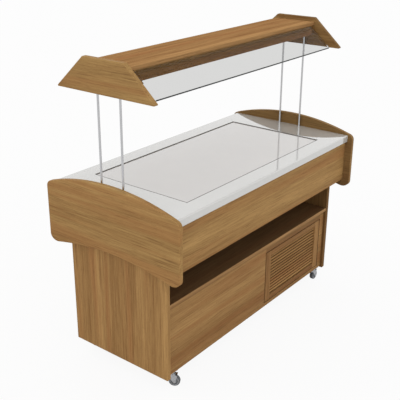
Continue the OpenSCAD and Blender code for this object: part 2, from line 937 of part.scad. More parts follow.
tube_rows = 5;
row_pitch = condenser_h / tube_rows;
tube_stub = 4;

module condenser() {
    x0 = unit_x - condenser_l / 2;
    fin_pitch = (condenser_l - 2 * side_plate_t) / (fin_count + 1);
    fin_t = 1.2;
    fin_inset = 2;
    color(zinc) {
        for (x = [x0, condenser_x1 - side_plate_t])
            board([x, condenser_y0, condenser_z0], [x + side_plate_t, condenser_y1, condenser_z1]);
        for (z = [condenser_z0, condenser_z1 - side_plate_t])
            board([x0, condenser_y0, z], [condenser_x1, condenser_y1, z + side_plate_t]);
        for (i = [1 : fin_count])
            board([x0 + side_plate_t + i * fin_pitch - fin_t / 2, condenser_y0 + fin_inset, condenser_z0],
                  [x0 + side_plate_t + i * fin_pitch + fin_t / 2, condenser_y1 - fin_inset, condenser_z1]);
        translate([0, (condenser_y0 + condenser_y1) / 2, 0]) {
            for (k = [0 : tube_rows - 1])
                translate([x0 - tube_stub, 0, condenser_z0 + (k + 0.5) * row_pitch]) rotate([0, 90, 0])
                    cylinder(h = condenser_l + 2 * tube_stub, d = pipe_d, $fn = 24);
            // Return bends, right and left by turns
            for (k = [0 : tube_rows - 2]) {
                z = condenser_z0 + (k + 1) * row_pitch;
                x = k % 2 == 0 ? x0 - tube_stub : condenser_x1 + tube_stub;
                translate([x, 0, z]) rotate([90, 0, 0]) rotate([0, 0, k % 2 == 0 ? 90 : -90])
                    rotate_extrude(angle = 180) translate([row_pitch / 2, 0])
                    circle(d = pipe_d, $fn = 24);
            }
        }
    }
}

module fan_shroud() {
    x0 = unit_x - condenser_l / 2;
    lip = 6;
    arm_w = 12;
    arm_t = 3;
    arm_z = 30;
    seat_y = motor_y0 + motor_l;
    color(black) {
        difference() {
            board([x0, condenser_y1, condenser_z0], [condenser_x1, shroud_y1, condenser_z1]);
            board([x0 + shroud_t, condenser_y1 - overcut, condenser_z0 + shroud_t],
                  [condenser_x1 - shroud_t, shroud_y1 - shroud_t, condenser_z1 - shroud_t]);
            translate([unit_x, shroud_y1 + overcut, fan_z]) rotate([90, 0, 0])
                cylinder(h = shroud_t + 2 * overcut, d = fan_d + 2 * lip);
        }
        // Venturi ring round the blades
        translate([unit_x, shroud_y1 + hub_l, fan_z]) rotate([90, 0, 0])
            ring(fan_d / 2 + lip + shroud_t, fan_d / 2 + lip, hub_l + shroud_t);
        // Two bars behind the fan that carry its motor
        for (z = [-1, 1]) {
            board([x0, seat_y, fan_z + z * arm_z - arm_w / 2],
                  [condenser_x1, seat_y + arm_t, fan_z + z * arm_z + arm_w / 2]);
            for (x = [x0, condenser_x1 - arm_t])
                board([x, shroud_y1, fan_z + z * arm_z - arm_w / 2],
                      [x + arm_t, seat_y + arm_t, fan_z + z * arm_z + arm_w / 2]);
        }
    }
}

module fan_motor() {
    round_r = 10;
    color(black)
    translate([unit_x, motor_y0 + motor_l, fan_z]) rotate([90, 0, 0]) {
        rotate_extrude() {
            square([motor_d / 2 - round_r, motor_l]);
            translate([0, round_r]) square([motor_d / 2, motor_l - 2 * round_r]);
            for (y = [round_r, motor_l - round_r]) translate([motor_d / 2 - round_r, y])
                circle(round_r);
        }
        cylinder(h = motor_l + motor_gap + hub_l, d = shaft_d);
    }
}

module fan_rotor() {
    blade_w = 66;
    blade_t = 1.8;
    blade_bend = 90;
    blade_pitch = 27;
    hub_bite = 4;
    root_r = hub_d / 2 - hub_bite / 2;
    slice_h = 2 * hub_l;
    color("lightslategray")
    translate([unit_x, fan_y0 + hub_l, fan_z]) rotate([90, 0, 0])
    difference() {
        union() {
            cylinder(h = hub_l, d = hub_d);
            for (i = [0 : blade_count - 1]) rotate([0, 0, i * 360 / blade_count])
                intersection() {
                    ring(fan_d / 2, root_r, hub_l);
                    // A strip of a bent sheet, pitched about the blade's own length
                    translate([hub_d / 2 - hub_bite, 0, hub_l / 2]) rotate([blade_pitch, 0, 0])
                        intersection() {
                            translate([0, 0, -blade_bend]) rotate([0, 90, 0])
                                ring(blade_bend, blade_bend - blade_t, fan_d / 2);
                            translate([0, -blade_w / 2, -slice_h / 2])
                                cube([fan_d / 2, blade_w, slice_h]);
                        }
                }
        }
        translate([0, 0, -overcut])
            cylinder(h = hub_l + 2 * overcut, r = shaft_d / 2 + running);
    }
}

control_w = 60;
control_d = 120;
control_h = 100;
control_y0 = -board_in_y + 30;
control_drop = 20;
control_z0 = shelf_low_z - control_h - control_drop;
knob_x = partition_x1 + control_w / 2;
knob_z = control_z0 + control_h * 0.6;
knob_stem_d = 6;
knob_stem_l = 12;
knob_bore_l = 13;

module control_box() {
    color("lightgray") {
        board([partition_x1, control_y0, control_z0],
              [partition_x1 + control_w, control_y0 + control_d, control_z0 + control_h]);
        translate([knob_x, control_y0, knob_z]) rotate([90, 0, 0])
            cylinder(h = knob_stem_l, d = knob_stem_d);
    }
}

module thermostat_knob() {
    knob_d = 34;
    knob_h = 16;
    skirt_h = 3;
    skirt_w = 3;
    grip_count = 12;
    groove_r = 2;
    color(black)
    translate([knob_x, control_y0 - swivel_gap, knob_z]) rotate([90, 0, 0])
    difference() {
        union() {
            cylinder(h = skirt_h, d = knob_d);
            cylinder(h = knob_h, d = knob_d - 2 * skirt_w);
        }
        for (i = [0 : grip_count - 1]) rotate([0, 0, (i + 0.5) * 360 / grip_count])
            translate([knob_d / 2 - groove_r, 0, skirt_h])
            cylinder(h = knob_h, r = groove_r, $fn = 24);
        translate([0, 0, -overcut]) cylinder(h = knob_bore_l + overcut, r = knob_stem_d / 2 + running);
    }
}

module cable_gland() {
    flange_d = 26;
    nut_t = 6;
    cap_h = 8;
    cap_d = 20;
    tail_l = 8;
    bore_d = 9;
    color(black)
    translate([gland_x, face_y, gland_z]) rotate([-90, 0, 0])
    difference() {
        union() {
            translate([0, 0, -board_t - tail_l]) cylinder(h = board_t + tail_l, d = gland_d);
            cylinder(h = nut_t, d = flange_d, $fn = 6);
            translate([0, 0, nut_t]) cylinder(h = cap_h, d = cap_d);
            translate([0, 0, -board_t - nut_t]) cylinder(h = nut_t, d = flange_d, $fn = 6);
        }
        translate([0, 0, -board_t - tail_l - overcut])
            cylinder(h = board_t + tail_l + nut_t + cap_h + 2 * overcut, d = bore_d);
    }
}

// The lines between the unit and the well: liquid, suction and hot gas
module refrigerant_lines() {
    wall_gap = 10;
    duct_gap = 8;
    liquid_x = duct_x0 + pipe_d / 2 + duct_gap;
    liquid_y = board_in_y - pipe_d / 2 - wall_gap;
    end_gap = 9;
    suction_x = cab_in_x - pipe_d / 2 - end_gap;
    suction_y = duct_y0 + pipe_d / 2 + wall_gap;
    leg_gap = 2;
    gas_reach = 40;
    gas_gap = 20;
    gas_x = liquid_x - gas_gap;
    drier = [24, 90];
    drier_y = 60;
    rear_z = pipe_bend_z;
    low_z = pipe_bend_z - pipe_stagger;
    port_x = condenser_x1 + tube_stub;
    condenser_y = (condenser_y0 + condenser_y1) / 2;
    top_row_z = condenser_z1 - row_pitch / 2;
    low_row_z = condenser_z0 + row_pitch / 2;
    suction_z = compressor_z0 + compressor_h * 0.6;
    gas_z = compressor_z0 + compressor_h * 0.35;
    shell_r = compressor_d / 2;
    color(copper) {
        pipe([[leg_x, leg_y, tub_z - leg_gap], [leg_x, leg_y, rear_z], [leg_x, liquid_y, rear_z],
              [liquid_x, liquid_y, rear_z], [liquid_x, liquid_y, top_row_z],
              [liquid_x, condenser_y, top_row_z], [port_x, condenser_y, top_row_z]], pipe_d);
        pipe([[leg_x, -leg_y, tub_z - leg_gap], [leg_x, -leg_y, low_z], [leg_x, suction_y, low_z],
              [suction_x, suction_y, low_z], [suction_x, suction_y, suction_z],
              [suction_x, compressor_y, suction_z],
              [compressor_x + shell_r, compressor_y, suction_z]], pipe_d);
        pipe([[compressor_x, compressor_y - shell_r, gas_z],
              [compressor_x, compressor_y - shell_r - gas_reach, gas_z],
              [gas_x, compressor_y - shell_r - gas_reach, gas_z],
              [gas_x, condenser_y, gas_z],
              [gas_x, condenser_y, low_row_z], [port_x, condenser_y, low_row_z]], pipe_d);
        // Filter drier on the liquid line
        translate([liquid_x, drier_y, top_row_z]) rotate([90, 0, 0])
            cylinder(h = drier[1], d = drier[0]);
    }
}

// ---------------------------------------------------------------- casters

// Point where the line from p touches a circle, on the side given by s
function touch_point(p, c, r, s) =
    let (d = norm(c - p), a = asin(r / d), t = sqrt(d * d - r * r),
         dir = atan2(c[1] - p[1], c[0] - p[0]) + s * a)
    p + t * [cos(dir), sin(dir)];

plate_half = [28, caster_back];
screw_inset = 6;
screw_d = 4.5;
screw_l = 16;

// The same piece at the four corners of every caster plate
module at_plate_corners() {
    left_and_right() front_and_back() translate([caster_x, caster_y, 0])
        for (x = [-1, 1], y = [-1, 1])
            translate([x * (plate_half[0] - screw_inset), y * (plate_half[1] - screw_inset), 0])
            children();
}

module caster_plates() {
    rivet_r = 8;
    rivet_t = 2.5;
    race_step = 6;
    color(zinc)
    difference() {
        left_and_right() front_and_back() translate([caster_x, caster_y, 0]) {
            translate([0, 0, caster_h - plate_sheet]) linear_extrude(plate_sheet)
                translate(-plate_half) rounded_rect(2 * plate_half, screw_inset);
            // Upper race and kingpin, with the pin's riveted head below the fork
            translate([0, 0, race_low_z + swivel_gap])
                cylinder(h = caster_h - plate_sheet - race_low_z - swivel_gap, d = swivel_d - race_step);
            translate([0, 0, crown_low_z - swivel_gap - rivet_t])
                cylinder(h = race_low_z - crown_low_z + 2 * rivet_t, r = kingpin_r);
            translate([0, 0, crown_low_z - swivel_gap - rivet_t]) cylinder(h = rivet_t, r = rivet_r);
        }
        at_plate_corners() translate([0, 0, caster_h - plate_sheet - overcut])
            cylinder(h = plate_sheet + 2 * overcut, r = screw_d / 2 + slip);
    }
}

module caster_screws() {
    head_h = 3;
    color(zinc)
    at_plate_corners() {
        translate([0, 0, caster_h - plate_sheet]) cylinder(h = screw_l, d = screw_d);
        translate([0, 0, caster_h - plate_sheet - head_h]) cylinder(h = head_h, d = 2 * screw_d);
    }
}

// One caster's fork: a crown under the race and two tapering cheeks down to the axle
module caster_fork() {
    boss_r = 7;
    rear_reach = 12;
    front_reach = 14;
    axle = [trail, wheel_r];
    rear = [-rear_reach, crown_low_z];
    front = [trail + front_reach, crown_low_z];
    head_r = swivel_d / 2;
    lip_t = 2.5;
    seat_gap = 4;
    bite = 0.5;
    rivet_h = 1.5;
    rivet_w = 2;
    color(zinc)
    difference() {
        union() {
            for (s = [-1, 1]) translate([0, s > 0 ? cheek_in : -cheek_in - fork_t, 0])
                translate([0, fork_t, 0]) rotate([90, 0, 0]) linear_extrude(fork_t) {
                    polygon([[rear[0], crown_high_z], rear, touch_point(rear, axle, boss_r, -1),
                             axle, touch_point(front, axle, boss_r, 1), front,
                             [front[0], crown_high_z]]);
                    translate(axle) circle(boss_r);
                }
            board([rear[0], -cheek_in - fork_t, crown_low_z],
                  [front[0], cheek_in + fork_t, crown_high_z]);
            translate([0, 0, crown_low_z]) cylinder(h = fork_t, d = swivel_d);
            translate([0, 0, crown_high_z - bite]) ring(head_r, head_r - lip_t, race_h + lip_t + bite);
            translate([0, 0, crown_high_z - bite]) cylinder(h = race_h + bite, r = head_r - seat_gap);
            // Axle, riveted outside both cheeks
            translate([trail, cheek_in + fork_t + rivet_h, wheel_r]) rotate([90, 0, 0])
                cylinder(h = 2 * (cheek_in + fork_t + rivet_h), d = axle_d);
            for (s = [-1, 1])
                translate([trail, s * (cheek_in + fork_t + rivet_h / 2) + rivet_h / 2, wheel_r])
                rotate([90, 0, 0]) cylinder(h = rivet_h, d = axle_d + 2 * rivet_w);
        }
        translate([0, 0, crown_low_z - overcut])
            cylinder(h = race_low_z - crown_low_z + 2 * overcut, r = kingpin_r + running);
    }
}

// One caster's wheel: a dished core and a crowned tyre
module caster_wheel() {
    tread_t = 7;
    hub_t = 5;
    core_r = wheel_r - tread_t;
    hub_r = axle_d / 2 + hub_t;
    hub_w = 2 * cheek_in - 2 * swivel_gap;
    rim_t = 3;
    rim_inset = 1;
    web_t = 5;
    round_r = 4;
    color(black)
    translate([trail, 0, wheel_r]) rotate([90, 0, 0]) rotate_extrude() {
        // Core: hub, web and rim
        difference() {
            union() {
                translate([0, -hub_w / 2]) square([hub_r, hub_w]);
                translate([0, -web_t / 2]) square([core_r, web_t]);
                translate([core_r - rim_t, -wheel_w / 2 + rim_inset])
                    square([rim_t, wheel_w - 2 * rim_inset]);
            }
            translate([-overcut, -hub_w]) square([axle_d / 2 + running + overcut, 2 * hub_w]);
        }
        // Tyre, seated on the rim
        difference() {
            translate([core_r - round_r, -wheel_w / 2])
                rounded_rect([wheel_r - core_r + round_r, wheel_w], round_r);
            translate([0, -wheel_w]) square([core_r, 2 * wheel_w]);
        }
    }
}

// A caster part at its corner, turned as it stands
module at_caster(side, end, turn) {
    translate([side * caster_x, end * caster_y, 0]) rotate([0, 0, turn]) children();
}

cabinet_end(-1);  // cabinet_end_left
cabinet_end(1);  // cabinet_end_right
bottom_board();
front_board();
back_board();
partition();
shelf_board();
slab_rails();
end_battens();
counter_end(-1);  // counter_end_left
counter_end(1);  // counter_end_right
apron(-1);  // apron_front
apron(1);  // apron_back
counter_slab();
cold_plate();
plate_seal();
cold_tub();
foam_core();
evaporator_coil();
refrigerant_lines();
pipe_duct();
posts(-1);  // posts_left
posts(1);  // posts_right
canopy_end(-1);  // canopy_end_left
canopy_end(1);  // canopy_end_right
roof_board();
fascia(-1);  // fascia_front
fascia(1);  // fascia_back
post_blocks();
glass_pane(-1);  // glass_front
glass_pane(1);  // glass_back
glass_rails();
lamp_batten();
lamp_tube();
door_stiles();
door_rails();
door_slats();
door_pins();
catch_plate();
magnet_catch();
unit_tray();
compressor();
condenser();
fan_shroud();
fan_motor();
fan_rotor();
control_box();
thermostat_knob();
cable_gland();
caster_plates();
caster_screws();
at_caster(-1, -1, front_left_turn) caster_fork();  // caster_fork_front_left
at_caster(1, -1, front_right_turn) caster_fork();  // caster_fork_front_right
at_caster(-1, 1, back_left_turn) caster_fork();  // caster_fork_back_left
at_caster(1, 1, back_right_turn) caster_fork();  // caster_fork_back_right
at_caster(-1, -1, front_left_turn) caster_wheel();  // caster_wheel_front_left
at_caster(1, -1, front_right_turn) caster_wheel();  // caster_wheel_front_right
at_caster(-1, 1, back_left_turn) caster_wheel();  // caster_wheel_back_left
at_caster(1, 1, back_right_turn) caster_wheel();  // caster_wheel_back_right
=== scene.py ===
# %% [markdown]
# # A mobile salad bar
# A cooled counter on a wheeled wooden cabinet, with a canopy and slanted glass on four posts.
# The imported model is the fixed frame: every piece already has its place and its real size,
# in metres. This lesson dresses it. Boards get eased edges and a grained veneer, the counter
# gets a polish, the louvres, fins and small hardware are built from rules, and a camera and
# soft light show the whole.

# %% The frame
import contextlib
import json
import math
import zlib

import bmesh
import bpy
from mathutils import Matrix, Vector


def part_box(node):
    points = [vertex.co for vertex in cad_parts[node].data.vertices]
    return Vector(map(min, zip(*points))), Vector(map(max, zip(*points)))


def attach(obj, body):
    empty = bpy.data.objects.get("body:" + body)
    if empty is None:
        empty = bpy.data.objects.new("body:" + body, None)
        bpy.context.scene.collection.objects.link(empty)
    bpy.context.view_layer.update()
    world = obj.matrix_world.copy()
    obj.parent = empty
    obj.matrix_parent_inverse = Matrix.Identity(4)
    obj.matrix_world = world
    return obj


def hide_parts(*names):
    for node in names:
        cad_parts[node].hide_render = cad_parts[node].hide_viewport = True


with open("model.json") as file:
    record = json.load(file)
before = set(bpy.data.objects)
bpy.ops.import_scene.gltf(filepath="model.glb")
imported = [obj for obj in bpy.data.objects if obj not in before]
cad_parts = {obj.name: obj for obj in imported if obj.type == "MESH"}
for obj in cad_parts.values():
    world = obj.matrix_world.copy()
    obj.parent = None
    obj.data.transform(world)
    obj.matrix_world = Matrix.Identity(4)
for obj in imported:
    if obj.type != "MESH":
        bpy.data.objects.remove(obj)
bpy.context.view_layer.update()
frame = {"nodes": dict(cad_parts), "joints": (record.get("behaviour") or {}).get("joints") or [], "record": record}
nodes = frame["nodes"]
members_of_body = frame["record"]["behaviour"]["bodies"]
body_of_node = {node: body for body, members in members_of_body.items() for node in members}

# %% [markdown]
# ## Shader maths
# Materials here are sums and products of noise. Blender writes each step as a node, which soon
# hides the formula. A small class that wraps a socket and overloads the operators lets Python
# write the formula, and one method adds any other node.

# %% A socket that can be added and multiplied
class Value:
    """A value in a node tree: the output socket that gives it."""

    def __init__(self, tree, socket):
        self.tree = tree
        self.socket = socket

    def maths(self, operation, first, second=0.0):
        return Value.make(self.tree, "ShaderNodeMath", {"operation": operation}, {0: first, 1: second})

    def __add__(self, other):
        return self.maths("ADD", self, other)

    def __radd__(self, other):
        return self.maths("ADD", other, self)

    def __sub__(self, other):
        return self.maths("SUBTRACT", self, other)

    def __rsub__(self, other):
        return self.maths("SUBTRACT", other, self)

    def __mul__(self, other):
        return self.maths("MULTIPLY", self, other)

    def __rmul__(self, other):
        return self.maths("MULTIPLY", other, self)

    @classmethod
    def make(cls, tree, kind, settings=None, inputs=None, output=0):
        """Adds any node: first its settings, then its sockets' values or links. Gives one output."""
        node = tree.nodes.new(kind)
        for key, value in (settings or {}).items():
            setattr(node, key, value)
        for key, value in (inputs or {}).items():
            socket = node.inputs[key]
            if isinstance(value, cls):
                tree.links.new(value.socket, socket)
            else:
                socket.default_value = value
        return cls(tree, node.outputs[output])


def larger(first, second):
    return first.maths("MAXIMUM", first, second)


print("sockets can be added, subtracted and multiplied")

# %% [markdown]
# ## Places and noises
# A finish starts from where the shaded point is and from a noise that is read there. The point
# is taken in the piece's own metres, so a grain keeps its real size on every piece. A range
# turns any part of such a value into a share from none to full.

# %% Points, noises and ranges
def object_point(tree):
    """The place of the shaded point in the piece's own metres."""
    return Value.make(tree, "ShaderNodeTexCoord", output="Object")


def coordinate(tree, letter):
    """How far along X, Y or Z the shaded point lies."""
    return Value.make(tree, "ShaderNodeSeparateXYZ", {}, {"Vector": object_point(tree)}, letter)


def mapped(tree, scale, shift):
    """The shaded point, stretched and shifted."""
    inputs = {"Vector": object_point(tree), "Scale": scale, "Location": shift}
    return Value.make(tree, "ShaderNodeMapping", {}, inputs)


def noise(tree, point, scale, detail=2.0, roughness=0.5, distortion=0.0):
    inputs = {"Vector": point, "Scale": scale, "Detail": detail, "Roughness": roughness}
    inputs["Distortion"] = distortion
    return Value.make(tree, "ShaderNodeTexNoise", {}, inputs, "Fac")


# Most of a noise lies in the wide range. The narrow one gives a stronger contrast.
WIDE = (0.3, 0.7)
NARROW = (0.35, 0.65)


def spread(value, low, high, out_low=0.0, out_high=1.0):
    """Stretches the part of a value between low and high over another range, with soft ends."""
    inputs = {"Value": value, "From Min": low, "From Max": high, "To Min": out_low, "To Max": out_high}
    return Value.make(value.tree, "ShaderNodeMapRange", {"interpolation_type": "SMOOTHSTEP"}, inputs)


def beyond(edge, fade):
    """A range that starts and ends at two distances beyond an edge, or before it if negative."""
    return edge + fade[0], edge + fade[1]


print(f"most of a noise lies from {WIDE[0]} to {WIDE[1]}")

# %% [markdown]
# ## Colours and surfaces
# A screen's numbers for a colour aren't the light that a shader counts in, so each colour is
# turned first. Two colours are mixed by a share, and the mix feeds the one shader that nearly
# every surface here has: it can be wood, metal, rubber or glass.

# %% Mixes and shaders
# A Mix node has a set of sockets for each kind of value. These are the ones for colours.
MIX_FACTOR, MIX_FIRST, MIX_SECOND, MIX_RESULT = 0, 6, 7, 2


def mix_colours(tree, factor, first, second, blend="MIX"):
    first, second = (colour if isinstance(colour, Value) else (*colour, 1.0) for colour in (first, second))
    settings = {"data_type": "RGBA", "blend_type": blend}
    inputs = {MIX_FACTOR: factor, MIX_FIRST: first, MIX_SECOND: second}
    return Value.make(tree, "ShaderNodeMix", settings, inputs, MIX_RESULT)


def surface(name, colour, **shader):
    """A new material with one Principled shader. Sockets that stay constant are set on it."""
    material = bpy.data.materials.new(name)
    material.use_nodes = True
    tree = material.node_tree
    principled = tree.nodes["Principled BSDF"]
    principled.inputs["Base Color"].default_value = (*colour, 1.0)
    for key, value in shader.items():
        principled.inputs[key.replace("_", " ")].default_value = value
    return material, tree, principled


def feed(tree, principled, **values):
    """Links values to the shader's sockets."""
    for key, value in values.items():
        tree.links.new(value.socket, principled.inputs[key.replace("_", " ")])


def bump(tree, height, distance, strength):
    inputs = {"Height": height, "Distance": distance, "Strength": strength}
    return Value.make(tree, "ShaderNodeBump", {}, inputs)


# The curve by which screens store light.
GAMMA = 2.4
OFFSET = 0.055
FULL_LIGHT = 255


def linear(*screen_colour):
    """A colour as a screen shows it, in 0 to 255, turned into the linear light that shaders use."""
    return tuple(((part / FULL_LIGHT + OFFSET) / (1 + OFFSET)) ** GAMMA for part in screen_colour)


def toned(colour, factor):
    """A colour made darker or lighter."""
    return tuple(part * factor for part in colour)


print(f"a screen's middle grey, 128, is {linear(128)[0]:.3f} in linear light")

# %% [markdown]
# ## Wood
# The boards are veneered in a warm brown, teak-like wood under a thin satin lacquer. Its grain
# runs straight: broad, quiet changes of tone, narrower bands, long thin dark lines, and short
# fine pores. Each is a noise that is fine across the grain and drawn out along it. A picture of
# wood would be quicker, but it repeats and it can't run on round an edge. Each board takes its
# own cut from the log, by a shift that comes from its name.

# %% A board's veneer
WOOD_PALE = linear(189, 152, 97)
WOOD_DARK = linear(136, 101, 60)
WOOD_RED = linear(162, 114, 70)
WOOD_LINE = linear(100, 69, 43)
WOOD_SHADE = linear(64, 42, 27)
GRAIN_STRETCH = 0.03
PORE_STRETCH = 0.075
# The noises of the grain: scale across it, detail, roughness, distortion.
GRAIN_NOISES = {
    "broad": (8.0, 2.0, 0.5, 0.4), "bands": (36.0, 4.0, 0.65, 0.2), "streaks": (150.0, 4.0, 0.7, 0.1),
    "lines": (190.0, 2.0, 0.6, 0.2), "red": (15.0, 2.0, 0.5, 0.3), "pores": (620.0, 2.0, 0.6, 0.0),
}
NOISE_MIDDLE = 0.5
MEAN_TONE = 0.53
# How strongly three of them vary the tone between dark and pale.
TONE_WEIGHTS = {"broad": 1.4, "bands": 1.0, "streaks": 1.65}
# What lies over that: a noise, a colour, the range where it sets in, and its strength.
OVERLAYS = (
    ("red", WOOD_RED, 0.48, 0.70, 0.5), ("lines", WOOD_LINE, 0.56, 0.72, 0.45),
    ("pores", WOOD_LINE, 0.52, 0.75, 0.30),
)
# How much of the unevenness is pores and how much streaks, its depth and its strength.
PORE_SHARE, STREAK_SHARE = 0.7, 0.3
PORE_DEPTH = 0.0003
PORE_BUMP = 0.3
LACQUER_GLOSS = 0.03
LACQUER_ROUGHNESS = (0.44, 0.58)
# For X, Y and Z: how many cuts there are, and how far apart they lie.
LOG_CUTS = ((17, 0.37), (23, 0.29), (31, 0.23))
# The powers of a tone's depth in red, green and blue.
TONE_POWERS = (1.0, 1.15, 1.2)


def cut_from_log(name):
    """Where in the log a board was cut: a shift that its name decides."""
    seed = zlib.crc32(name.encode())
    return tuple(seed % count * step for count, step in LOG_CUTS)


def stain_and_painted_light(tone, edge=1.0):
    """What a board's tone, with the painted light of its edges, multiplies the wood's colour by. One number is a
    tone that reddens with depth.
    """
    if isinstance(tone, tuple):
        return toned(tone, edge)
    depth = tone * edge
    return tuple(depth ** power if depth < 1 else depth for power in TONE_POWERS)


def veneer(name, grain, shift, tint=(1.0, 1.0, 1.0), shade=None, gloss=LACQUER_GLOSS):
    """Wood whose grain runs along one axis. Shade darkens it where a rule says so."""
    material, tree, principled = surface(name, WOOD_DARK, Specular_IOR_Level=gloss)
    points = {}
    for key, stretch in (("grain", GRAIN_STRETCH), ("pores", PORE_STRETCH)):
        points[key] = mapped(tree, [stretch if letter == grain else 1.0 for letter in "XYZ"], shift)
    noises = {}
    for key, rule in GRAIN_NOISES.items():
        noises[key] = noise(tree, points["pores" if key == "pores" else "grain"], *rule)
    amount = MEAN_TONE
    for key, weight in TONE_WEIGHTS.items():
        amount = (noises[key] - NOISE_MIDDLE) * weight + amount
    body = mix_colours(tree, amount, WOOD_DARK, WOOD_PALE)
    for key, colour, low, high, strength in OVERLAYS:
        body = mix_colours(tree, spread(noises[key], low, high, 0.0, strength), body, colour)
    body = mix_colours(tree, 1.0, body, tint, "MULTIPLY")
    if shade:
        body = mix_colours(tree, shade(tree), body, WOOD_SHADE)
    height = noises["pores"] * PORE_SHARE + noises["streaks"] * STREAK_SHARE
    feed(
        tree, principled, Base_Color=body, Normal=bump(tree, height, PORE_DEPTH, PORE_BUMP),
        Roughness=spread(noises["streaks"], *WIDE, *LACQUER_ROUGHNESS),
    )
    return material


print(f"{len(GRAIN_NOISES)} noises make the grain")

# %% [markdown]
# ## Grain and stain of each board
# A board's grain runs along its length, so each has an axis. No two leaves of veneer take a
# stain alike, and boards that one tone covered would look cast in one piece. A tone for each
# board keeps them apart, as on the real counter.

# %% Axes and tones
BOARDS_ALONG = (
    ("Z", "cabinet_end_left cabinet_end_right partition pipe_duct door_stiles"),
    ("Y", "counter_end_left counter_end_right canopy_end_left canopy_end_right"),
    ("X", "bottom_board front_board back_board shelf_board slab_rails apron_front apron_back"),
    ("X", "roof_board fascia_front fascia_back glass_rails door_rails"),
    ("Y", "end_battens post_blocks"),
)
GRAIN = {board: axis for axis, boards in BOARDS_ALONG for board in boards.split()}
# Two tones paint light: the right cabinet end's dark tone is painted shade, as that end lies in shadow, and the
# shelf board's pale tone is partly a painted highlight on its rounded nose.
TONE = {
    "door_stiles": (0.88, 0.8, 0.83), "door_rails": (0.7, 0.62, 0.63), "front_board": (0.89, 0.84, 0.86),
    "shelf_board": (1.04, 1.0, 1.14), "bottom_board": (0.86, 0.79, 0.81), "roof_board": (1.02, 0.93, 1.0),
    "cabinet_end_left": (0.98, 0.93, 0.94), "cabinet_end_right": 0.58, "canopy_end_left": 0.94,
    "apron_front": (0.95, 0.93, 0.93), "apron_back": (0.95, 0.93, 0.93),
    "fascia_front": (0.88, 0.79, 0.77), "fascia_back": (0.88, 0.79, 0.77), "glass_rails": 0.6,
}
# Most eased edges are a little paler than the faces: a painted highlight where the rounds catch
# the light. Those of the door's frame are darker, a painted shadow in the gap round the door, and
# those of the end panels at the right are darker, painted shade at the end away from the light.
EDGE_PAINTED_HIGHLIGHT = 1.06
EDGE_PAINTED_SHADE = {"door_stiles": 0.55, "door_rails": 0.55, "counter_end_right": 0.75, "canopy_end_right": 0.75}
print(f"{len(GRAIN)} boards, {len(TONE)} with a tone of their own")

# %% [markdown]
# ## Where a board is darker
# A board isn't one tone all over. The niche gets painted shade where it lies in shadow, and
# the long edges of the roof board get painted shade too. Painting this by hand would tie it
# to one mesh.
# Here each is a rule of where the shaded point lies, with its measures taken from the frame.

# %% The niche and the roof's edges
NICHE_SHADE = 0.68
# How far behind the shelf's front and back edge the niche's painted shade comes and goes.
NICHE_FRONT = (0.0005, 0.003)
NICHE_BACK = (0.002, 0.006)


# Painted shade: the niche is darkened where it lies in shadow.
def niche_painted_shade(tree):
    """Full inside the niche, none on the outer faces."""
    place = coordinate(tree, "Y")
    low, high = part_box("shelf_board")
    front = spread(place, *beyond(low[1], NICHE_FRONT))
    back = spread(place, *beyond(high[1], NICHE_BACK), 1.0, 0.0)
    return front * back * NICHE_SHADE


FRONT_SHADE = 0.16
# How far from the edge the shade starts, and where it is full.
FRONT_FADE = (-0.002, -0.0002)


def roof_edge_painted_shade(tree):
    """Painted shade on the roof board's two long edges, which the light from the front makes bright."""
    place = coordinate(tree, "Y")
    out = place.maths("ABSOLUTE", place)
    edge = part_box("roof_board")[1][1]
    return spread(out, *beyond(edge, FRONT_FADE), 0.0, FRONT_SHADE)


print(f"the niche is {NICHE_SHADE:.0%} of the way to the darkest wood")

# %% [markdown]
# ## Round the door
# Painted shade darkens the front board where shadow falls: in the gap on the rim of the door's
# opening, on the strip above the door, and under the shelf's nose. Three shares say so, and the
# largest of them wins, so that they don't add up to black where they meet.

# %% The front board's shade
# The gap round the door, and how far the shade reaches on its rim.
DOOR_GAP = 0.004
GAP_REACH = 0.004
GAP_SHADE = 0.9
# How far down the band under the nose reaches, and where it is full.
NOSE_REACH = 0.02
NOSE_FULL = 0.014
NOSE_SHADE = 0.33
# Over what height the strip above the door sets in, and over what length it ends beside it.
STRIP_RISE = 0.006
STRIP_END = 0.01


def painted_shade_round_door(tree):
    """Painted shade on the front board: in the door's gap, above the door and under the nose."""
    low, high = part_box("door_stiles")
    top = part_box("front_board")[1][2]
    across = coordinate(tree, "X")
    height = coordinate(tree, "Z")
    beside = larger(low[0] - across, across - high[0])
    above = larger(low[2] - height, height - high[2])
    rim = spread(larger(beside, above), DOOR_GAP, DOOR_GAP + GAP_REACH, GAP_SHADE, 0.0)
    band = spread(height, top - NOSE_REACH, top - NOSE_FULL, 0.0, NOSE_SHADE)
    strip = spread(height, high[2], high[2] + STRIP_RISE, 0.0, NOSE_SHADE)
    over_the_door = strip * spread(beside, 0.0, STRIP_END, 1.0, 0.0)
    return larger(rim, larger(band, over_the_door))


print(f"the front board is darker {NOSE_REACH * 1000:.0f} mm deep under the nose")

# %% [markdown]
# ## End panels
# The end panels are darker on the side that looks to the counter, which the light reaches less.
# The shade depends on the panel, so this rule is made by a function that is given the panel.

# %% The end panels' shade
INNER_SHADE = {
    "counter_end_left": 0.4, "counter_end_right": 0.46, "canopy_end_left": 0.4, "canopy_end_right": 0.16,
}
RIM_SHADE = 0.3
# How far from the left face and from the right face of a panel its shade changes.
LEFT_FADE = (0.0005, 0.002)
RIGHT_FADE = (-0.002, -0.0005)


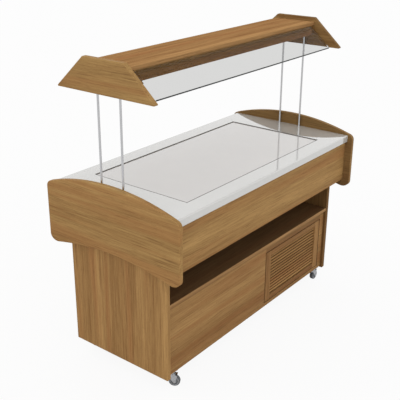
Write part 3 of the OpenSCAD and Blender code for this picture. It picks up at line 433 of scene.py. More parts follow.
def inner_face(node):
    """A rule for the inner face of an end panel. On a panel at the right, the rim is shaded too."""
    low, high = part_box(node)

    def shade(tree):
        place = coordinate(tree, "X")
        if high[0] < 0:
            return spread(place, *beyond(high[0], RIGHT_FADE), 0.0, INNER_SHADE[node])
        inner = spread(place, *beyond(low[0], LEFT_FADE), INNER_SHADE[node], RIM_SHADE)
        return inner * spread(place, *beyond(high[0], RIGHT_FADE), 1.0, 0.0)

    return shade


SHADES = {
    "shelf_board": niche_painted_shade, "back_board": niche_painted_shade, "slab_rails": niche_painted_shade,
    "roof_board": roof_edge_painted_shade, "front_board": painted_shade_round_door,
    **{node: inner_face(node) for node in INNER_SHADE},
}
print(f"{len(SHADES)} boards with a rule of shade")

# %% [markdown]
# ## Eased edges
# No joiner leaves a board's edge sharp: it is eased with a sander, and the thin round catches
# the light. The frame's meshes have sharp edges, so each board gets a dressed copy: the copy's
# loose triangles are merged, flat regions become single faces and a bevel runs along every
# sharp edge. A bevel in the shader would only look round from afar. The copy then stands for
# the node.

# %% A copy that stands for a node
SHARP = math.radians(30)
FLAT = math.radians(0.2)
SAME_PLACE = 2e-6


@contextlib.contextmanager
def edited(mesh):
    """Opens a mesh for editing and writes it back, with smooth faces and sharp edges."""
    shape = bmesh.new()
    shape.from_mesh(mesh)
    yield shape
    for face in shape.faces:
        face.smooth = True
    shape.to_mesh(mesh)
    shape.free()
    mesh.set_sharp_from_angle(angle=SHARP)


def placed(name, data):
    """A new object in the scene."""
    item = bpy.data.objects.new(name, data)
    bpy.context.scene.collection.objects.link(item)
    return item


def plain_copy(node, name, *materials):
    """A copy of a node's mesh with its triangles merged and its flat regions made one face."""
    mesh = nodes[node].data.copy()
    mesh.materials.clear()
    with edited(mesh) as shape:
        bmesh.ops.remove_doubles(shape, verts=shape.verts, dist=SAME_PLACE)
        bmesh.ops.dissolve_limit(shape, angle_limit=FLAT, verts=shape.verts, edges=shape.edges)
        bmesh.ops.recalc_face_normals(shape, faces=shape.faces)
        for face in shape.faces:
            face.material_index = 0
    for material in materials:
        mesh.materials.append(material)
    return placed(name, mesh)


def finished(piece):
    """Turns a piece's modifiers into plain mesh."""
    graph = bpy.context.evaluated_depsgraph_get()
    mesh = bpy.data.meshes.new_from_object(piece.evaluated_get(graph), depsgraph=graph)
    piece.modifiers.clear()
    piece.data = mesh
    mesh.name = piece.name
    return piece


def stands_for(piece, node):
    """The piece takes the node's place in the picture and rides on the node's body."""
    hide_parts(node)
    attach(piece, body_of_node[node])
    return piece


print(f"edges sharper than {math.degrees(SHARP):.0f} degrees are sharp")

# %% [markdown]
# ## The bevel
# A bevel's rounds can bend the shading of the flat faces beside them, which shows in a polish.
# So the normals are weighted afterwards: large faces keep theirs, and only the rounds turn.

# %% A node with eased edges
FACE_WEIGHT = 100
# The number by which a bevel keeps the material of the faces beside it.
KEEP = -1


def eased(node, materials, width, segments=3, prepare=None, rounds=None):
    """The node with its sharp edges rounded, after a step that may change its mesh. The rounds
    get the last material, or the one whose number is given."""
    piece = plain_copy(node, f"{node}_dressed", *materials)
    if prepare:
        prepare(piece.data)
    bevel = piece.modifiers.new("ease", "BEVEL")
    bevel.width = width
    bevel.segments = segments
    bevel.limit_method = "ANGLE"
    bevel.angle_limit = SHARP
    bevel.use_clamp_overlap = True
    bevel.harden_normals = True
    bevel.material = len(materials) - 1 if rounds is None else rounds
    flat = piece.modifiers.new("flat", "WEIGHTED_NORMAL")
    flat.weight = FACE_WEIGHT
    flat.keep_sharp = True
    return stands_for(finished(piece), node)


print(f"large faces weigh {FACE_WEIGHT} in the normals, where 50 would be even")

# %% [markdown]
# ## Aprons and tips
# The aprons of the real counter hang close behind the slab's edge. Their solids hang further in
# and reach lower, which looks the same from the photographer's side but not from the ends. The
# lower tips of the counter ends are a little long as well. The dressed copies are mended before
# their edges are eased, and the rails under the slab reach out to the aprons.

# %% Mends of the mesh
APRON_OUT = 0.034
APRON_RAISE = 0.029
TIP_RAISE = 0.009
TIP_HEIGHT = 0.07
ON_THE_EDGE = 0.001


def hung_further_out(mesh):
    """Moves an apron outwards and raises its lower edge."""
    lowest = min(vertex.co.z for vertex in mesh.vertices)
    for vertex in mesh.vertices:
        vertex.co.y += math.copysign(APRON_OUT, vertex.co.y)
        if vertex.co.z < lowest + ON_THE_EDGE:
            vertex.co.z += APRON_RAISE


def reaching_the_aprons(mesh):
    """Lets the rails' outer faces follow the aprons."""
    outermost = max(abs(vertex.co.y) for vertex in mesh.vertices)
    for vertex in mesh.vertices:
        if abs(vertex.co.y) > outermost - ON_THE_EDGE:
            vertex.co.y += math.copysign(APRON_OUT, vertex.co.y)


def shorter_tips(mesh):
    """Draws up the two lower tips of a counter end, the more the lower a point lies."""
    lowest = min(vertex.co.z for vertex in mesh.vertices)
    for vertex in mesh.vertices:
        share = max(0.0, 1.0 - (vertex.co.z - lowest) / TIP_HEIGHT)
        vertex.co.z += TIP_RAISE * share * share


MENDED = {
    "apron_front": hung_further_out, "apron_back": hung_further_out, "slab_rails": reaching_the_aprons,
    "counter_end_left": shorter_tips, "counter_end_right": shorter_tips,
}
print(f"aprons {APRON_OUT * 1000:.0f} mm further out and {APRON_RAISE * 1000:.0f} mm less deep")

# %% [markdown]
# ## The boards
# One loop dresses every board: a veneer for its faces, one in the edge's tone for its rounds,
# and wider rounds on the panels that hands touch.

# %% Every board
BOARD_EASE = 0.0013
PANEL_EASE = 0.0024
PANELS = ("counter_end", "canopy_end", "cabinet_end")
for node, grain in GRAIN.items():
    gloss = 0.0 if node == "roof_board" else LACQUER_GLOSS
    tone = TONE.get(node, 1.0)
    finishes = []
    # The rounds take the edges' painted highlight, and on the door's frame and the right end panels a painted
    # shade.
    for suffix, edge in (("", 1.0), ("_edge", EDGE_PAINTED_SHADE.get(node, EDGE_PAINTED_HIGHLIGHT))):
        tint = stain_and_painted_light(tone, edge)
        name = f"veneer_{node}{suffix}"
        finishes.append(veneer(name, grain, cut_from_log(node), tint, SHADES.get(node), gloss))
    ease = PANEL_EASE if node.startswith(PANELS) else BOARD_EASE
    eased(node, finishes, ease, prepare=MENDED.get(node))
print(f"{len(GRAIN)} boards dressed")

# %% [markdown]
# ## Counter top
# The slab and the plate are polished solid surface: an even pale grey with a faint cloud in it
# and a gloss that mirrors the posts and the end panel. Two weak noises keep it from looking
# like paint, and a third varies the polish.

# %% Slab and plate
POLISH = {"IOR": 2.9, "Coat_Weight": 1.0, "Coat_Roughness": 0.01}
POLISH_ROUGHNESS = (0.008, 0.022)
# Where the fine grains set in, how strong they are, and how dark.
GRAINS_RANGE = (0.55, 0.75)
GRAINS_STRENGTH = 0.08
GRAINS_TONE = 0.7
SLAB_EASE = 0.0008
PLATE_EASE = 0.0006


def polished(name, colour, cloud):
    """Solid surface whose clouds are darker than it by a share."""
    material, tree, principled = surface(name, colour, **POLISH)
    point = object_point(tree)
    clouds = noise(tree, point, scale=5.0, detail=3.0)
    grains = noise(tree, point, scale=900.0)
    smear = noise(tree, point, scale=18.0, detail=4.0)
    shade = mix_colours(tree, spread(clouds, *NARROW), toned(colour, 1 - cloud), colour)
    speckled = spread(grains, *GRAINS_RANGE, 0.0, GRAINS_STRENGTH)
    shade = mix_colours(tree, speckled, shade, toned(colour, GRAINS_TONE))
    feed(tree, principled, Base_Color=shade, Roughness=spread(smear, *WIDE, *POLISH_ROUGHNESS))
    return material


slab_finish = polished("slab_finish", linear(205, 204, 200), 0.015)
plate_finish = polished("plate_finish", linear(196, 191, 186), 0.02)
slab = eased("counter_slab", [slab_finish], SLAB_EASE)
plate = eased("cold_plate", [plate_finish], PLATE_EASE)
print(f"slab and plate polished, {len(slab.data.polygons)} and {len(plate.data.polygons)} faces")

# %% [markdown]
# ## Plain finishes
# Metal, rubber and moulded plastic are one colour to the eye, but never quite even: cast and
# moulded faces have a fine grain, plated sheet has soft clouds, and handling changes the gloss.
# One recipe gives each of them its own size of grain.

# %% One finish for each material slot
# The clouds' scale as a share of the grain's, and their tone.
CLOUD_SCALE = 0.2
CLOUD_TONE = 0.9
GRAIN_BUMP = 0.5
# The least and the most of the roughness, as shares of it.
GLOSSIER, DULLER = 0.85, 1.15


def plain(name, screen_colour, roughness, grain_size, depth, **shader):
    """A moulded, cast or drawn finish: one colour, with a fine irregular surface."""
    colour = linear(*screen_colour)
    material, tree, principled = surface(name, colour, **shader)
    point = object_point(tree)
    coarse = noise(tree, point, grain_size * CLOUD_SCALE, detail=3.0)
    fine = noise(tree, point, grain_size)
    shade = mix_colours(tree, spread(coarse, *WIDE), toned(colour, CLOUD_TONE), colour)
    feed(
        tree, principled, Base_Color=shade, Normal=bump(tree, fine, depth, GRAIN_BUMP),
        Roughness=spread(coarse, *WIDE, roughness * GLOSSIER, min(1.0, roughness * DULLER)),
    )
    return material


FINISHES = {
    "tub_steel": plain("tub_finish", (190, 190, 192), 0.35, 700, 0.00005, Metallic=1.0),
    "foam": plain("foam_finish", (225, 210, 150), 0.9, 900, 0.0006),
    "copper": plain("copper_finish", (205, 132, 95), 0.28, 500, 0.00005, Metallic=1.0),
    "post_metal": plain("post_finish", (212, 212, 214), 0.2, 900, 0.00002, Metallic=1.0),
    "lamp_body": plain("lamp_body_finish", (235, 235, 230), 0.4, 900, 0.00005),
    "lamp_glass": plain("lamp_tube_finish", (240, 240, 235), 0.15, 900, 0.00002),
    "pin_steel": plain("pin_finish", (190, 190, 192), 0.25, 900, 0.00002, Metallic=1.0),
    "black_plastic": plain("black_moulding", (38, 38, 40), 0.5, 1600, 0.0001),
    "unit_metal": plain("black_enamel", (30, 30, 32), 0.3, 300, 0.0001, Coat_Weight=0.4),
    "tray_metal": plain("tray_finish", (170, 172, 174), 0.4, 120, 0.0001, Metallic=1.0),
    # Painted shade: the fins are a dark, warm brown, so that the louvres' gaps show dark.
    "fins": plain("fin_finish", (112, 100, 86), 0.5, 900, 0.00005, Metallic=0.4),
    "control_plastic": plain("control_finish", (190, 190, 186), 0.5, 1600, 0.0001),
    "zinc": plain("zinc_finish", (205, 207, 210), 0.25, 260, 0.0001, Metallic=1.0),
    "tyre": plain("tread_finish", (92, 94, 98), 0.55, 1200, 0.0001),
}
wheel_core = plain("wheel_core_finish", (150, 152, 155), 0.4, 900, 0.0001)
# Painted dark line: the ground edge is near black, as a pane's edge looks against the light.
ground_edge_painted_dark = plain("ground_glass_edge", (22, 25, 25), 0.5, 1500, 0.0001)
blade_finish = plain("blade_finish", (165, 168, 172), 0.4, 600, 0.0001, Metallic=0.8)
print(f"{len(FINISHES)} plain finishes for the slots, and three more")

# %% [markdown]
# ## Glass
# The panes are clear float glass with a grey cast. The lower edge is where hands meet a pane, so
# it is ground and arrised: the edge and a narrow strip of both faces are matt and opaque. Their
# near-black colour is a painted dark line, for how a pane's edge looks against the light. A dark
# bar in front of the edge would hang in the air, so a cut across each pane makes faces for the
# strip instead.

# %% Panes
GROUND = 0.0035
PANE_EASE = 0.0004
PANE_CAST = linear(218, 218, 217)
PANE_ROUGHNESS = (0.0, 0.012)
WIPED = (0.4, 0.7)
TINY = 1e-6


def pane_glass():
    material, tree, principled = surface("pane_glass", PANE_CAST, IOR=1.1, Transmission_Weight=1.0)
    wipe = noise(tree, object_point(tree), scale=9.0, detail=3.0)
    feed(tree, principled, Roughness=spread(wipe, *WIPED, *PANE_ROUGHNESS))
    return material


def grind_lower_edge(mesh):
    """Gives the second material to the lower edge and to a strip of each face above it."""
    with edited(mesh) as shape:
        lowest = min(shape.faces, key=lambda face: face.calc_center_median().z)
        up = -lowest.normal
        foot = lowest.calc_center_median() + up * GROUND
        everything = [*shape.verts, *shape.edges, *shape.faces]
        bmesh.ops.bisect_plane(shape, geom=everything, dist=TINY, plane_co=foot, plane_no=up)
        for face in shape.faces:
            face.material_index = 1 if (face.calc_center_median() - foot).dot(up) < 0 else 0


glass = pane_glass()
for node in ("glass_front", "glass_back"):
    pane = eased(node, [glass, ground_edge_painted_dark], PANE_EASE, 2, grind_lower_edge, KEEP)
    ground = sum(face.material_index for face in pane.data.polygons)
    print(f"{node}: {ground} of {len(pane.data.polygons)} faces ground")

# %% [markdown]
# ## Small hardware and the machine
# Everything else keeps its own shape. Sheet and castings get a small ease on their edges and
# the finish of their material. Foam, coil and pipes are round or hidden, so the frame's own
# objects stay and get a finish.

# %% Castings and sheet
CORNERS = ("front_left", "front_right", "back_left", "back_right")
EASE = {
    "posts_left": 0.0004, "posts_right": 0.0004, "cold_tub": 0.0005, "lamp_batten": 0.0008,
    "lamp_tube": 0.0005, "door_pins": 0.0004, "catch_plate": 0.0003, "magnet_catch": 0.0006,
    "unit_tray": 0.0004, "compressor": 0.0012, "fan_shroud": 0.0005, "fan_motor": 0.0008,
    "fan_rotor": 0.0003, "control_box": 0.0015, "thermostat_knob": 0.0006, "cable_gland": 0.0006,
    "caster_plates": 0.0005, **{f"caster_fork_{corner}": 0.0005 for corner in CORNERS},
}
SLOT = {part["node"]: part["material_slot"] for part in frame["record"]["subparts"]}
for node, width in EASE.items():
    finish = blade_finish if node == "fan_rotor" else FINISHES[SLOT[node]]
    eased(node, [finish], width, segments=2)
for node in ("foam_core", "evaporator_coil", "refrigerant_lines"):
    mesh = nodes[node].data
    mesh.materials.clear()
    mesh.materials.append(FINISHES[SLOT[node]])
print(f"{len(EASE)} fittings eased")

# %% [markdown]
# ## Wheels
# A caster's wheel is two materials in one: a soft tread moulded round a hard core. Both are in
# one mesh, so a face's material is told by how far the face lies from the axle. That works
# however the caster stands turned, because the axle comes from the wheel's own joint.

# %% Tread and core
TREAD = 0.0065


def dressed_wheel(corner):
    node = f"caster_wheel_{corner}"
    low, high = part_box(node)
    radius = (high[2] - low[2]) / 2
    joint = next(joint for joint in frame["joints"] if joint["name"] == f"roll_{corner}")
    axle, along = Vector(joint["pos_m"]), Vector(joint["axis"]).normalized()
    piece = plain_copy(node, f"{node}_dressed", FINISHES["tyre"], wheel_core)
    for face in piece.data.polygons:
        away = Vector(face.center) - axle
        across = (away - along * away.dot(along)).length
        face.material_index = 0 if across > radius - TREAD else 1
    stands_for(piece, node)
    return radius


radii = [dressed_wheel(corner) for corner in CORNERS]
print("wheels of radius", [round(radius, 4) for radius in radii])

# %% [markdown]
# ## What repeats, and what follows a path
# A louvre is one slat and a step, a condenser is one fin and a step, and a seal is one small
# section swept round a rectangle. Geometry Nodes say exactly that: a tree with named sizes
# makes the piece, and the sizes come from the frame, so the pieces always fit it.

# %% A tree with named sizes
def geometry_tree(name, sizes, path=False):
    """A tree with a named input for each size, and one for a path or points if it takes them."""
    tree = bpy.data.node_groups.new(name, "GeometryNodeTree")
    tree.interface.new_socket("Geometry", in_out="OUTPUT", socket_type="NodeSocketGeometry")
    labels = list(sizes)
    if path:
        tree.interface.new_socket("Path", in_out="INPUT", socket_type="NodeSocketGeometry")
        labels.append("Path")
    keys = {}
    for label, value in sizes.items():
        kind = "NodeSocketInt" if isinstance(value, int) else "NodeSocketFloat"
        keys[label] = tree.interface.new_socket(label, in_out="INPUT", socket_type=kind).identifier
    group = tree.nodes.new("NodeGroupInput")
    return tree, keys, {label: Value(tree, group.outputs[label]) for label in labels}


print("sizes are in metres, counts are whole numbers")

# %% [markdown]
# ## Shapes in a tree
# The same few steps come back in every tree: a block, a rounded section, a sweep along a way,
# and copies in a row. Each is one function that adds its nodes and gives their result.

# %% Blocks, sections, sweeps and rows
FILLET_STEPS = 3


def vector(tree, x=0.0, y=0.0, z=0.0):
    return Value.make(tree, "ShaderNodeCombineXYZ", {}, {"X": x, "Y": y, "Z": z})


def block(tree, size):
    return Value.make(tree, "GeometryNodeMeshCube", {}, {"Size": size})


def joined(tree, *shapes):
    node = tree.nodes.new("GeometryNodeJoinGeometry")
    for shape in shapes:
        tree.links.new(shape.socket, node.inputs[0])
    return Value(tree, node.outputs[0])


def on_points(tree, points, shape, turn=(0.0, 0.0, 0.0)):
    inputs = {"Points": points, "Instance": shape, "Rotation": turn}
    return Value.make(tree, "GeometryNodeInstanceOnPoints", {}, inputs)


def row(tree, count, start, step, shape, turn=(0.0, 0.0, 0.0)):
    """Copies of a shape at equal steps."""
    inputs = {"Count": count, "Start Location": start, "Offset": step}
    points = Value.make(tree, "GeometryNodeMeshLine", {}, inputs)
    return on_points(tree, points, shape, turn)


def rectangle(tree, width, height):
    inputs = {"Width": width, "Height": height}
    return Value.make(tree, "GeometryNodeCurvePrimitiveQuadrilateral", {}, inputs)


def rounded_section(tree, width, height, rounding):
    """A rectangular section with rounded corners."""
    inputs = {"Curve": rectangle(tree, width, height), "Count": FILLET_STEPS, "Radius": rounding}
    return Value.make(tree, "GeometryNodeFilletCurve", {"mode": "POLY"}, inputs)


def swept(tree, path, section, caps=False):
    inputs = {"Curve": path, "Profile Curve": section, "Fill Caps": caps}
    return Value.make(tree, "GeometryNodeCurveToMesh", {}, inputs)


print(f"a rounded corner takes {FILLET_STEPS} steps")

# %% [markdown]
# ## From tree to mesh
# A tree ends in two nodes: one makes real mesh of its copies, one gives the material. A new
# object runs it with its sizes, its result is kept as plain mesh, and points that lie in one
# place are merged, so that the piece is closed.

# %% A piece grown by a tree
def path_mesh(name, points, joined_up=True):
    """Bare points, joined one after another if they are a path."""
    edges = [(k, k + 1) for k in range(len(points) - 1)] if joined_up else []
    mesh = bpy.data.meshes.new(name)
    mesh.from_pydata(points, edges, [])
    return mesh


def grown(name, tree, keys, sizes, shape, material, path=None):
    """Ends the tree, runs it with its sizes and keeps the result as plain mesh."""
    real = Value.make(tree, "GeometryNodeRealizeInstances", {}, {"Geometry": shape})
    dressed = Value.make(tree, "GeometryNodeSetMaterial", {}, {"Geometry": real, "Material": material})
    output = tree.nodes.new("NodeGroupOutput")
    tree.links.new(dressed.socket, output.inputs[0])
    piece = placed(name, path or bpy.data.meshes.new(name))
    modifier = piece.modifiers.new(name, "NODES")
    modifier.node_group = tree
    for label, value in sizes.items():
        modifier[keys[label]] = value
    with edited(finished(piece).data) as merged:
        bmesh.ops.remove_doubles(merged, verts=merged.verts, dist=TINY)
        bmesh.ops.recalc_face_normals(merged, faces=merged.faces)
    return piece


def middle_of(low, high):
    return tuple((a + b) / 2 for a, b in zip(low, high))


print(f"points within {TINY * 1e6:.0f} micrometre are merged")

# %% [markdown]
# ## Louvre slats
# Thirteen slats with rounded edges lie in the door's frame, front edge low, so that warm air
# leaves and drips stay out. They are planed, not veneered, and each shows its own grain. Their
# back halves get painted shade, where the shadow between the slats falls, which the gaps show.

# %% Slats
SLAT_COUNT = 13
SLAT_TILT = math.radians(45)
SLAT_T = 0.005
SLAT_ROUNDING = 0.45
SLAT_STAIN = (0.98, 0.9, 0.9)
BACK_SHADE = 0.85
# Between which shares of the slats' depth the shade sets in.
BACK_FADE = (0.2, 0.75)
low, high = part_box("door_slats")
depth = high[1] - low[1]
slat_w = (depth - SLAT_T) / math.cos(SLAT_TILT) + SLAT_T
slat_rise = (slat_w - SLAT_T) * math.sin(SLAT_TILT) + SLAT_T
pitch = (high[2] - low[2] - slat_rise) / (SLAT_COUNT - 1)
sizes = {"Count": SLAT_COUNT, "Length": high[0] - low[0], "Width": slat_w, "Thickness": SLAT_T}
sizes["Pitch"] = pitch
tree, keys, given = geometry_tree("louvre", sizes)
half = given["Length"] * 0.5
inputs = {"Start": vector(tree, half * -1.0), "End": vector(tree, half)}
line = Value.make(tree, "GeometryNodeCurvePrimitiveLine", {}, inputs)
section = rounded_section(tree, given["Width"], given["Thickness"], given["Thickness"] * SLAT_ROUNDING)
slat = swept(tree, line, section, True)
start = (*middle_of(low, high)[:2], low[2] + slat_rise / 2)
stack = row(tree, given["Count"], start, vector(tree, z=given["Pitch"]), slat, (SLAT_TILT, 0.0, 0.0))


# Painted shade on the slats' back halves, where the shadow between them falls.
def slat_back_painted_shade(tree):
    """On the back half of a slat."""
    fade = (low[1] + depth * share for share in BACK_FADE)
    return spread(coordinate(tree, "Y"), *fade, 0.0, BACK_SHADE)


slat_wood = veneer("slat_wood", "X", cut_from_log("slats"), SLAT_STAIN, slat_back_painted_shade)
stands_for(grown("louvre_slats", tree, keys, sizes, stack, slat_wood), "door_slats")
print(f"{SLAT_COUNT} slats, {slat_w * 1000:.1f} mm wide, every {pitch * 1000:.2f} mm")

# %% [markdown]
# ## Plate seal
# A soft bead of dark rubber fills the groove between the slab and the cold plate. It stands a
# hair above the slab, so it shows as a thin line from every side. Sweeping one section round a
# rectangle keeps its corners mitred, as a fitter would cut them.

# %% Seal
SEAL_W = 0.004
SEAL_PROUD = 0.0003
SEAL_ROUNDING = 0.3
SEAL_ROUGHNESS = (0.55, 0.7)
SEAL_TOP = linear(58, 54, 51)
SEAL_SIDE = linear(134, 128, 124)
SIDE_MOTTLE_TONE = 0.85
# How far under the slab's top the side's grey turns into the top's black.
SEAL_FADE = (-0.0008, -0.0001)
low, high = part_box("plate_seal")
slab_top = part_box("counter_slab")[1][2]
seal_h = slab_top + SEAL_PROUD - low[2]
seal_l, seal_d = high[0] - low[0] - SEAL_W, high[1] - low[1] - SEAL_W
sizes = {"Length": seal_l, "Depth": seal_d, "Width": SEAL_W, "Height": seal_h}
tree, keys, given = geometry_tree("seal", sizes)
path = rectangle(tree, given["Length"], given["Depth"])
section = rounded_section(tree, given["Width"], given["Height"], given["Width"] * SEAL_ROUNDING)
place = (*middle_of(low, high)[:2], low[2] + seal_h / 2)
inputs = {"Geometry": swept(tree, path, section), "Translation": place}
bead = Value.make(tree, "GeometryNodeTransform", {}, inputs)


def seal_rubber():
    """Rubber that is near black on its top and a lighter, mottled grey on its sides."""
    material, tree, principled = surface("seal_rubber", SEAL_TOP)
    mottle = noise(tree, object_point(tree), scale=60.0, detail=3.0)
    side = mix_colours(tree, spread(mottle, *NARROW), toned(SEAL_SIDE, SIDE_MOTTLE_TONE), SEAL_SIDE)
    top_share = spread(coordinate(tree, "Z"), *beyond(slab_top, SEAL_FADE))
    body = mix_colours(tree, top_share, side, SEAL_TOP)
    feed(tree, principled, Base_Color=body, Roughness=spread(mottle, *WIDE, *SEAL_ROUGHNESS))
    return material


seal_piece = grown("seal_bead", tree, keys, sizes, bead, seal_rubber())
stands_for(seal_piece, "plate_seal")
print(f"seal {seal_h * 1000:.1f} mm high, {len(seal_piece.data.polygons)} faces")

# %% [markdown]
# ## Condenser
# A condenser is a pack of thin sheets pressed on copper tubes, about four millimetres apart,
# between two end plates and two covers. The frame's own has fewer and thicker fins, because so
# many thin sheets would be heavy in an exact model. Here a row of copies of one fin makes them.

# %% Fin pack
FIN_PITCH = 0.004
FIN_T = 0.0005
FIN_INSET_Y = 0.004
FIN_INSET_Z = 0.006
END_PLATE_T = 0.003
TUBE_D = 0.008
TUBE_ROWS = 5
STUB = 0.004
low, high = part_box("condenser")
depth, height = high[1] - low[1], high[2] - low[2]
middle_x, middle_y, middle_z = middle_of(low, high)
row_pitch = height / TUBE_ROWS
bend_reach = STUB + (TUBE_D + row_pitch) / 2
x0, x1 = low[0] + bend_reach, high[0] - bend_reach
fin_count = int((x1 - x0 - 2 * END_PLATE_T) / FIN_PITCH)
sizes = {"Fins": fin_count, "Fin pitch": FIN_PITCH, "Fin thickness": FIN_T}
sizes |= {"Depth": depth, "Height": height}
tree, keys, given = geometry_tree("fin_pack", sizes)
fin_size = vector(tree, given["Fin thickness"], given["Depth"] - FIN_INSET_Y, given["Height"] - FIN_INSET_Z)
first = (x0 + END_PLATE_T + FIN_PITCH / 2, middle_y, middle_z)
fins = row(tree, given["Fins"], first, vector(tree, given["Fin pitch"]), block(tree, fin_size))
plate = block(tree, vector(tree, END_PLATE_T, given["Depth"], given["Height"]))
plates = row(tree, 2, (x0 + END_PLATE_T / 2, middle_y, middle_z), (x1 - x0 - END_PLATE_T, 0.0, 0.0), plate)
cover = block(tree, (x1 - x0, depth, END_PLATE_T))
first = (middle_x, middle_y, low[2] + END_PLATE_T / 2)
covers = row(tree, 2, first, (0.0, 0.0, height - END_PLATE_T), cover)
pack = grown("condenser_pack", tree, keys, sizes, joined(tree, fins, plates, covers), FINISHES["fins"])
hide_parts("condenser")
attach(pack, body_of_node["condenser"])
print(f"{fin_count} fins, {len(pack.data.polygons)} faces")

# %% [markdown]
# ## Condenser tube
# One tube runs to and fro through the fins and turns back in a half circle outside each end
# plate. Its way is a list of points made by a loop, and a circle is swept along it. Straight
# tubes and separate bends would leave seams to hide.

# %% Tube and bends
BEND_STEPS = 8
TUBE_SIDES = 12
turn_r = row_pitch / 2
route = []
for k in range(TUBE_ROWS):
    z = low[2] + (k + 0.5) * row_pitch
    ends = [x0 - STUB, x1 + STUB]
    if k % 2 == 0:
        ends.reverse()
    route += [(ends[0], middle_y, z), (ends[1], middle_y, z)]
    if k < TUBE_ROWS - 1:
        outward = math.copysign(turn_r, ends[1] - middle_x)
        for i in range(1, BEND_STEPS):
            angle = math.pi * i / BEND_STEPS
            bend = (ends[1] + outward * math.sin(angle), middle_y, z + turn_r * (1 - math.cos(angle)))
            route.append(bend)
sizes = {"Tube radius": TUBE_D / 2}
tree, keys, given = geometry_tree("condenser_tube", sizes, path=True)
way = Value.make(tree, "GeometryNodeMeshToCurve", {}, {"Mesh": given["Path"]})
inputs = {"Resolution": TUBE_SIDES, "Radius": given["Tube radius"]}
section = Value.make(tree, "GeometryNodeCurvePrimitiveCircle", {}, inputs)
tube = swept(tree, way, section, True)
copper = FINISHES["copper"]
tube_piece = grown("condenser_bends", tree, keys, sizes, tube, copper, path_mesh("condenser_route", route))
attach(tube_piece, body_of_node["condenser"])
print(f"{TUBE_ROWS} rows of tube, {len(tube_piece.data.polygons)} faces")

# %% [markdown]
# ## Screws
# Each caster plate is held by four pan-head screws. A cross recess is pressed into the head: in
# plan it is a plus, so its outline in polar terms is the smaller of two distances, to the end
# of an arm and to its flank. One screw is made of rings of points, and Geometry Nodes put a
# copy at each place where the frame has one.

# %% One screw
SCREW_SIDES = 24
HEAD_H = 0.003
HEAD_R = 0.0045
SHANK_R = 0.00225
RECESS_ARM = HEAD_R * 0.45
RECESS_HALF = HEAD_R * 0.12
low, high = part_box("caster_screws")
TIP_Z = high[2] - low[2]


def recess_reach(angle):
    """How far the recess reaches from its middle in a direction."""
    turn = (angle + math.pi / 4) % (math.pi / 2) - math.pi / 4
    flank = RECESS_HALF / max(abs(math.sin(turn)), TINY)
    return min(RECESS_ARM / math.cos(turn), flank)


# From the tip down to the head, and from there into the recess, which looks down: each ring's
# radius, its share of the cross, and its height.
RINGS = (
    (SHANK_R * 0.2, 0.0, TIP_Z), (SHANK_R, 0.0, TIP_Z - SHANK_R), (SHANK_R, 0.0, HEAD_H),
    (HEAD_R, 0.0, HEAD_H), (HEAD_R, 0.0, HEAD_H * 0.45), (HEAD_R * 0.82, 0.0, HEAD_H * 0.12),
    (HEAD_R * 0.55, 0.0, 0.0), (0.0, 1.0, 0.0), (0.0, 0.75, HEAD_H * 0.5),
)


def screw_mesh():
    mesh = bpy.data.meshes.new("one_screw")
    angles = [2 * math.pi * k / SCREW_SIDES for k in range(SCREW_SIDES)]
    with edited(mesh) as shape:
        loops = []
        for radius, share, z in RINGS:
            spokes = [radius + share * recess_reach(angle) for angle in angles]
            points = [(r * math.cos(angle), r * math.sin(angle), z) for r, angle in zip(spokes, angles)]
            loops.append([shape.verts.new(point) for point in points])
        for above, below in zip(loops, loops[1:]):
            for k in range(SCREW_SIDES):
                n = (k + 1) % SCREW_SIDES
                shape.faces.new((above[k], above[n], below[n], below[k]))
        shape.faces.new(loops[0])
        shape.faces.new(reversed(loops[-1]))
        bmesh.ops.recalc_face_normals(shape, faces=shape.faces)
    return mesh


one_screw = bpy.data.objects.new("one_screw", screw_mesh())
print(f"a screw of {len(one_screw.data.polygons)} faces, {TIP_Z * 1000:.1f} mm long")

# %% [markdown]
# ## Where the screws are
# The frame's sixteen screws are one mesh. Its vertices fall into groups that no edge joins, one
# group for each screw, and the middle of a group is a screw's place.

# %% Every screw
def group_middles(mesh):
    """The middle, seen from above, of each group of vertices that hang together."""
    shape = bmesh.new()
    shape.from_mesh(mesh)
    bmesh.ops.remove_doubles(shape, verts=shape.verts, dist=SAME_PLACE)
    middles = []
    seen = set()
    for vertex in shape.verts:
        if vertex in seen:
            continue
        seen.add(vertex)
        group = [vertex]
        for here in group:
            for edge in here.link_edges:
                other = edge.other_vert(here)
                if other not in seen:
                    seen.add(other)
                    group.append(other)
        xs, ys = [here.co.x for here in group], [here.co.y for here in group]
        middles.append(((min(xs) + max(xs)) / 2, (min(ys) + max(ys)) / 2))
    shape.free()
    return middles


centres = group_middles(nodes["caster_screws"].data)
places = path_mesh("screw_places", [(x, y, low[2]) for x, y in centres], False)
tree, keys, given = geometry_tree("screws", {}, path=True)
screw = Value.make(tree, "GeometryNodeObjectInfo", {}, {"Object": one_screw}, "Geometry")
screws = on_points(tree, given["Path"], screw)
screw_piece = grown("plate_screws", tree, keys, {}, screws, FINISHES["zinc"], places)
stands_for(screw_piece, "caster_screws")
bpy.data.objects.remove(one_screw)
print(f"{len(centres)} screws, {len(screw_piece.data.polygons)} faces")

# %% [markdown]
# ## Floor
# The object stands in a bright studio on white paper. Plain white paper would show every shadow
# and turn grey far away, so a ray from the camera sees an even glow, and light that bounces
# sees paper. A mix of two shaders, told apart by the kind of ray, does that.

# %% White floor
FLOOR_GLOW = 0.92
FLOOR_HALF = 40.0
FLOOR_UNDER = 0.0005
WHITE = (1.0, 1.0, 1.0, 1.0)
PAPER = (0.8, 0.8, 0.8, 1.0)


def ray_is(tree, kind):
    """One for rays of a kind, such as the camera's, and none for others."""
    return Value.make(tree, "ShaderNodeLightPath", output=f"Is {kind} Ray")


def shown_as(tree, kind, shader):
    """Ends a tree in an output node that shows the shader."""
    output = tree.nodes.new(kind)
    tree.links.new(shader.socket, output.inputs["Surface"])


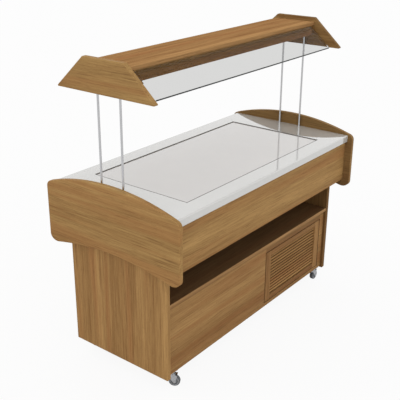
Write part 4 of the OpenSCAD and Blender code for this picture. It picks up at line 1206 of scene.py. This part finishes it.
def floor_material():
    material = bpy.data.materials.new("floor_finish")
    material.use_nodes = True
    tree = material.node_tree
    tree.nodes.clear()
    glow = Value.make(tree, "ShaderNodeEmission", {}, {"Color": WHITE, "Strength": 1.0})
    paper = Value.make(tree, "ShaderNodeBsdfDiffuse", {}, {"Color": PAPER})
    share = larger(ray_is(tree, "Camera"), ray_is(tree, "Transmission")) * FLOOR_GLOW
    mixed = Value.make(tree, "ShaderNodeMixShader", {}, {0: share, 1: paper, 2: glow})
    shown_as(tree, "ShaderNodeOutputMaterial", mixed)
    return material


floor = placed("floor", bpy.data.meshes.new("floor"))
with edited(floor.data) as shape:
    bmesh.ops.create_grid(shape, x_segments=1, y_segments=1, size=FLOOR_HALF)
floor.data.materials.append(floor_material())
floor.location.z = -FLOOR_UNDER
print(f"a floor {2 * FLOOR_HALF:.0f} m wide")

# %% [markdown]
# ## Light
# An even pale dome lights everything softly from all around, and one broad lamp above the
# photographer's shoulder gives the boards their tone. The dome is pure white where it is seen,
# in the polish or through a pane, and a little weaker as a light, so that nothing pale clips.

# %% Dome and lamp
DOME = 0.95
LAMP_POWER = 6
LAMP_SIZE = 3.0
LAMP_PLACE = (-2.2, -2.6, 4.2)
LAMP_TARGET = Vector((0, 0, 0.8))
world = bpy.data.worlds.new("studio")
bpy.context.scene.world = world
world.use_nodes = True
sky = world.node_tree
sky.nodes.clear()
shown = larger(ray_is(sky, "Camera"), larger(ray_is(sky, "Glossy"), ray_is(sky, "Transmission")))
strength = shown * (1.0 - DOME) + DOME
dome = Value.make(sky, "ShaderNodeBackground", {}, {"Color": WHITE, "Strength": strength})
shown_as(sky, "ShaderNodeOutputWorld", dome)
lamp_data = bpy.data.lights.new("key", "AREA")
lamp_data.energy = LAMP_POWER
lamp_data.size = LAMP_SIZE
lamp = placed("key", lamp_data)
lamp.location = LAMP_PLACE
lamp.rotation_euler = (LAMP_TARGET - lamp.location).to_track_quat("-Z", "Y").to_euler()
print(f"dome at {DOME}, lamp {(LAMP_TARGET - lamp.location).length:.1f} m away")

# %% [markdown]
# ## Camera
# The camera stands where the photographer stood. Its place, heading and lens were worked out
# from the corners of the counter in the photograph: level and upright edges look as they do
# there from one place only.

# %% Photographer's place
EYE = Vector((-2.7918, -2.0725, 2.0880))
HEADING = math.radians(38.773)
DROP = math.radians(22.085)
ROLL = math.radians(-0.047)
FOCAL_PIXELS = 734.13
CENTRE_PIXEL = (187.13, 194.75)
PHOTO_PIXELS = 400
SENSOR = 36.0
camera_data = bpy.data.cameras.new("camera")
camera_data.sensor_width = SENSOR
camera_data.lens = FOCAL_PIXELS / PHOTO_PIXELS * SENSOR
camera_data.shift_x = (PHOTO_PIXELS / 2 - CENTRE_PIXEL[0]) / PHOTO_PIXELS
camera_data.shift_y = (CENTRE_PIXEL[1] - PHOTO_PIXELS / 2) / PHOTO_PIXELS
camera = placed("camera", camera_data)
ahead = Vector((math.cos(HEADING) * math.cos(DROP), math.sin(HEADING) * math.cos(DROP), -math.sin(DROP)))
aim = ahead.to_track_quat("-Z", "Y").to_matrix().to_4x4()
camera.matrix_world = Matrix.Translation(EYE) @ aim @ Matrix.Rotation(ROLL, 4, "Z")
bpy.context.scene.camera = camera
bpy.context.scene.view_settings.view_transform = "Standard"
print(f"camera {EYE.z:.2f} m up, a lens of {camera_data.lens:.1f} mm")
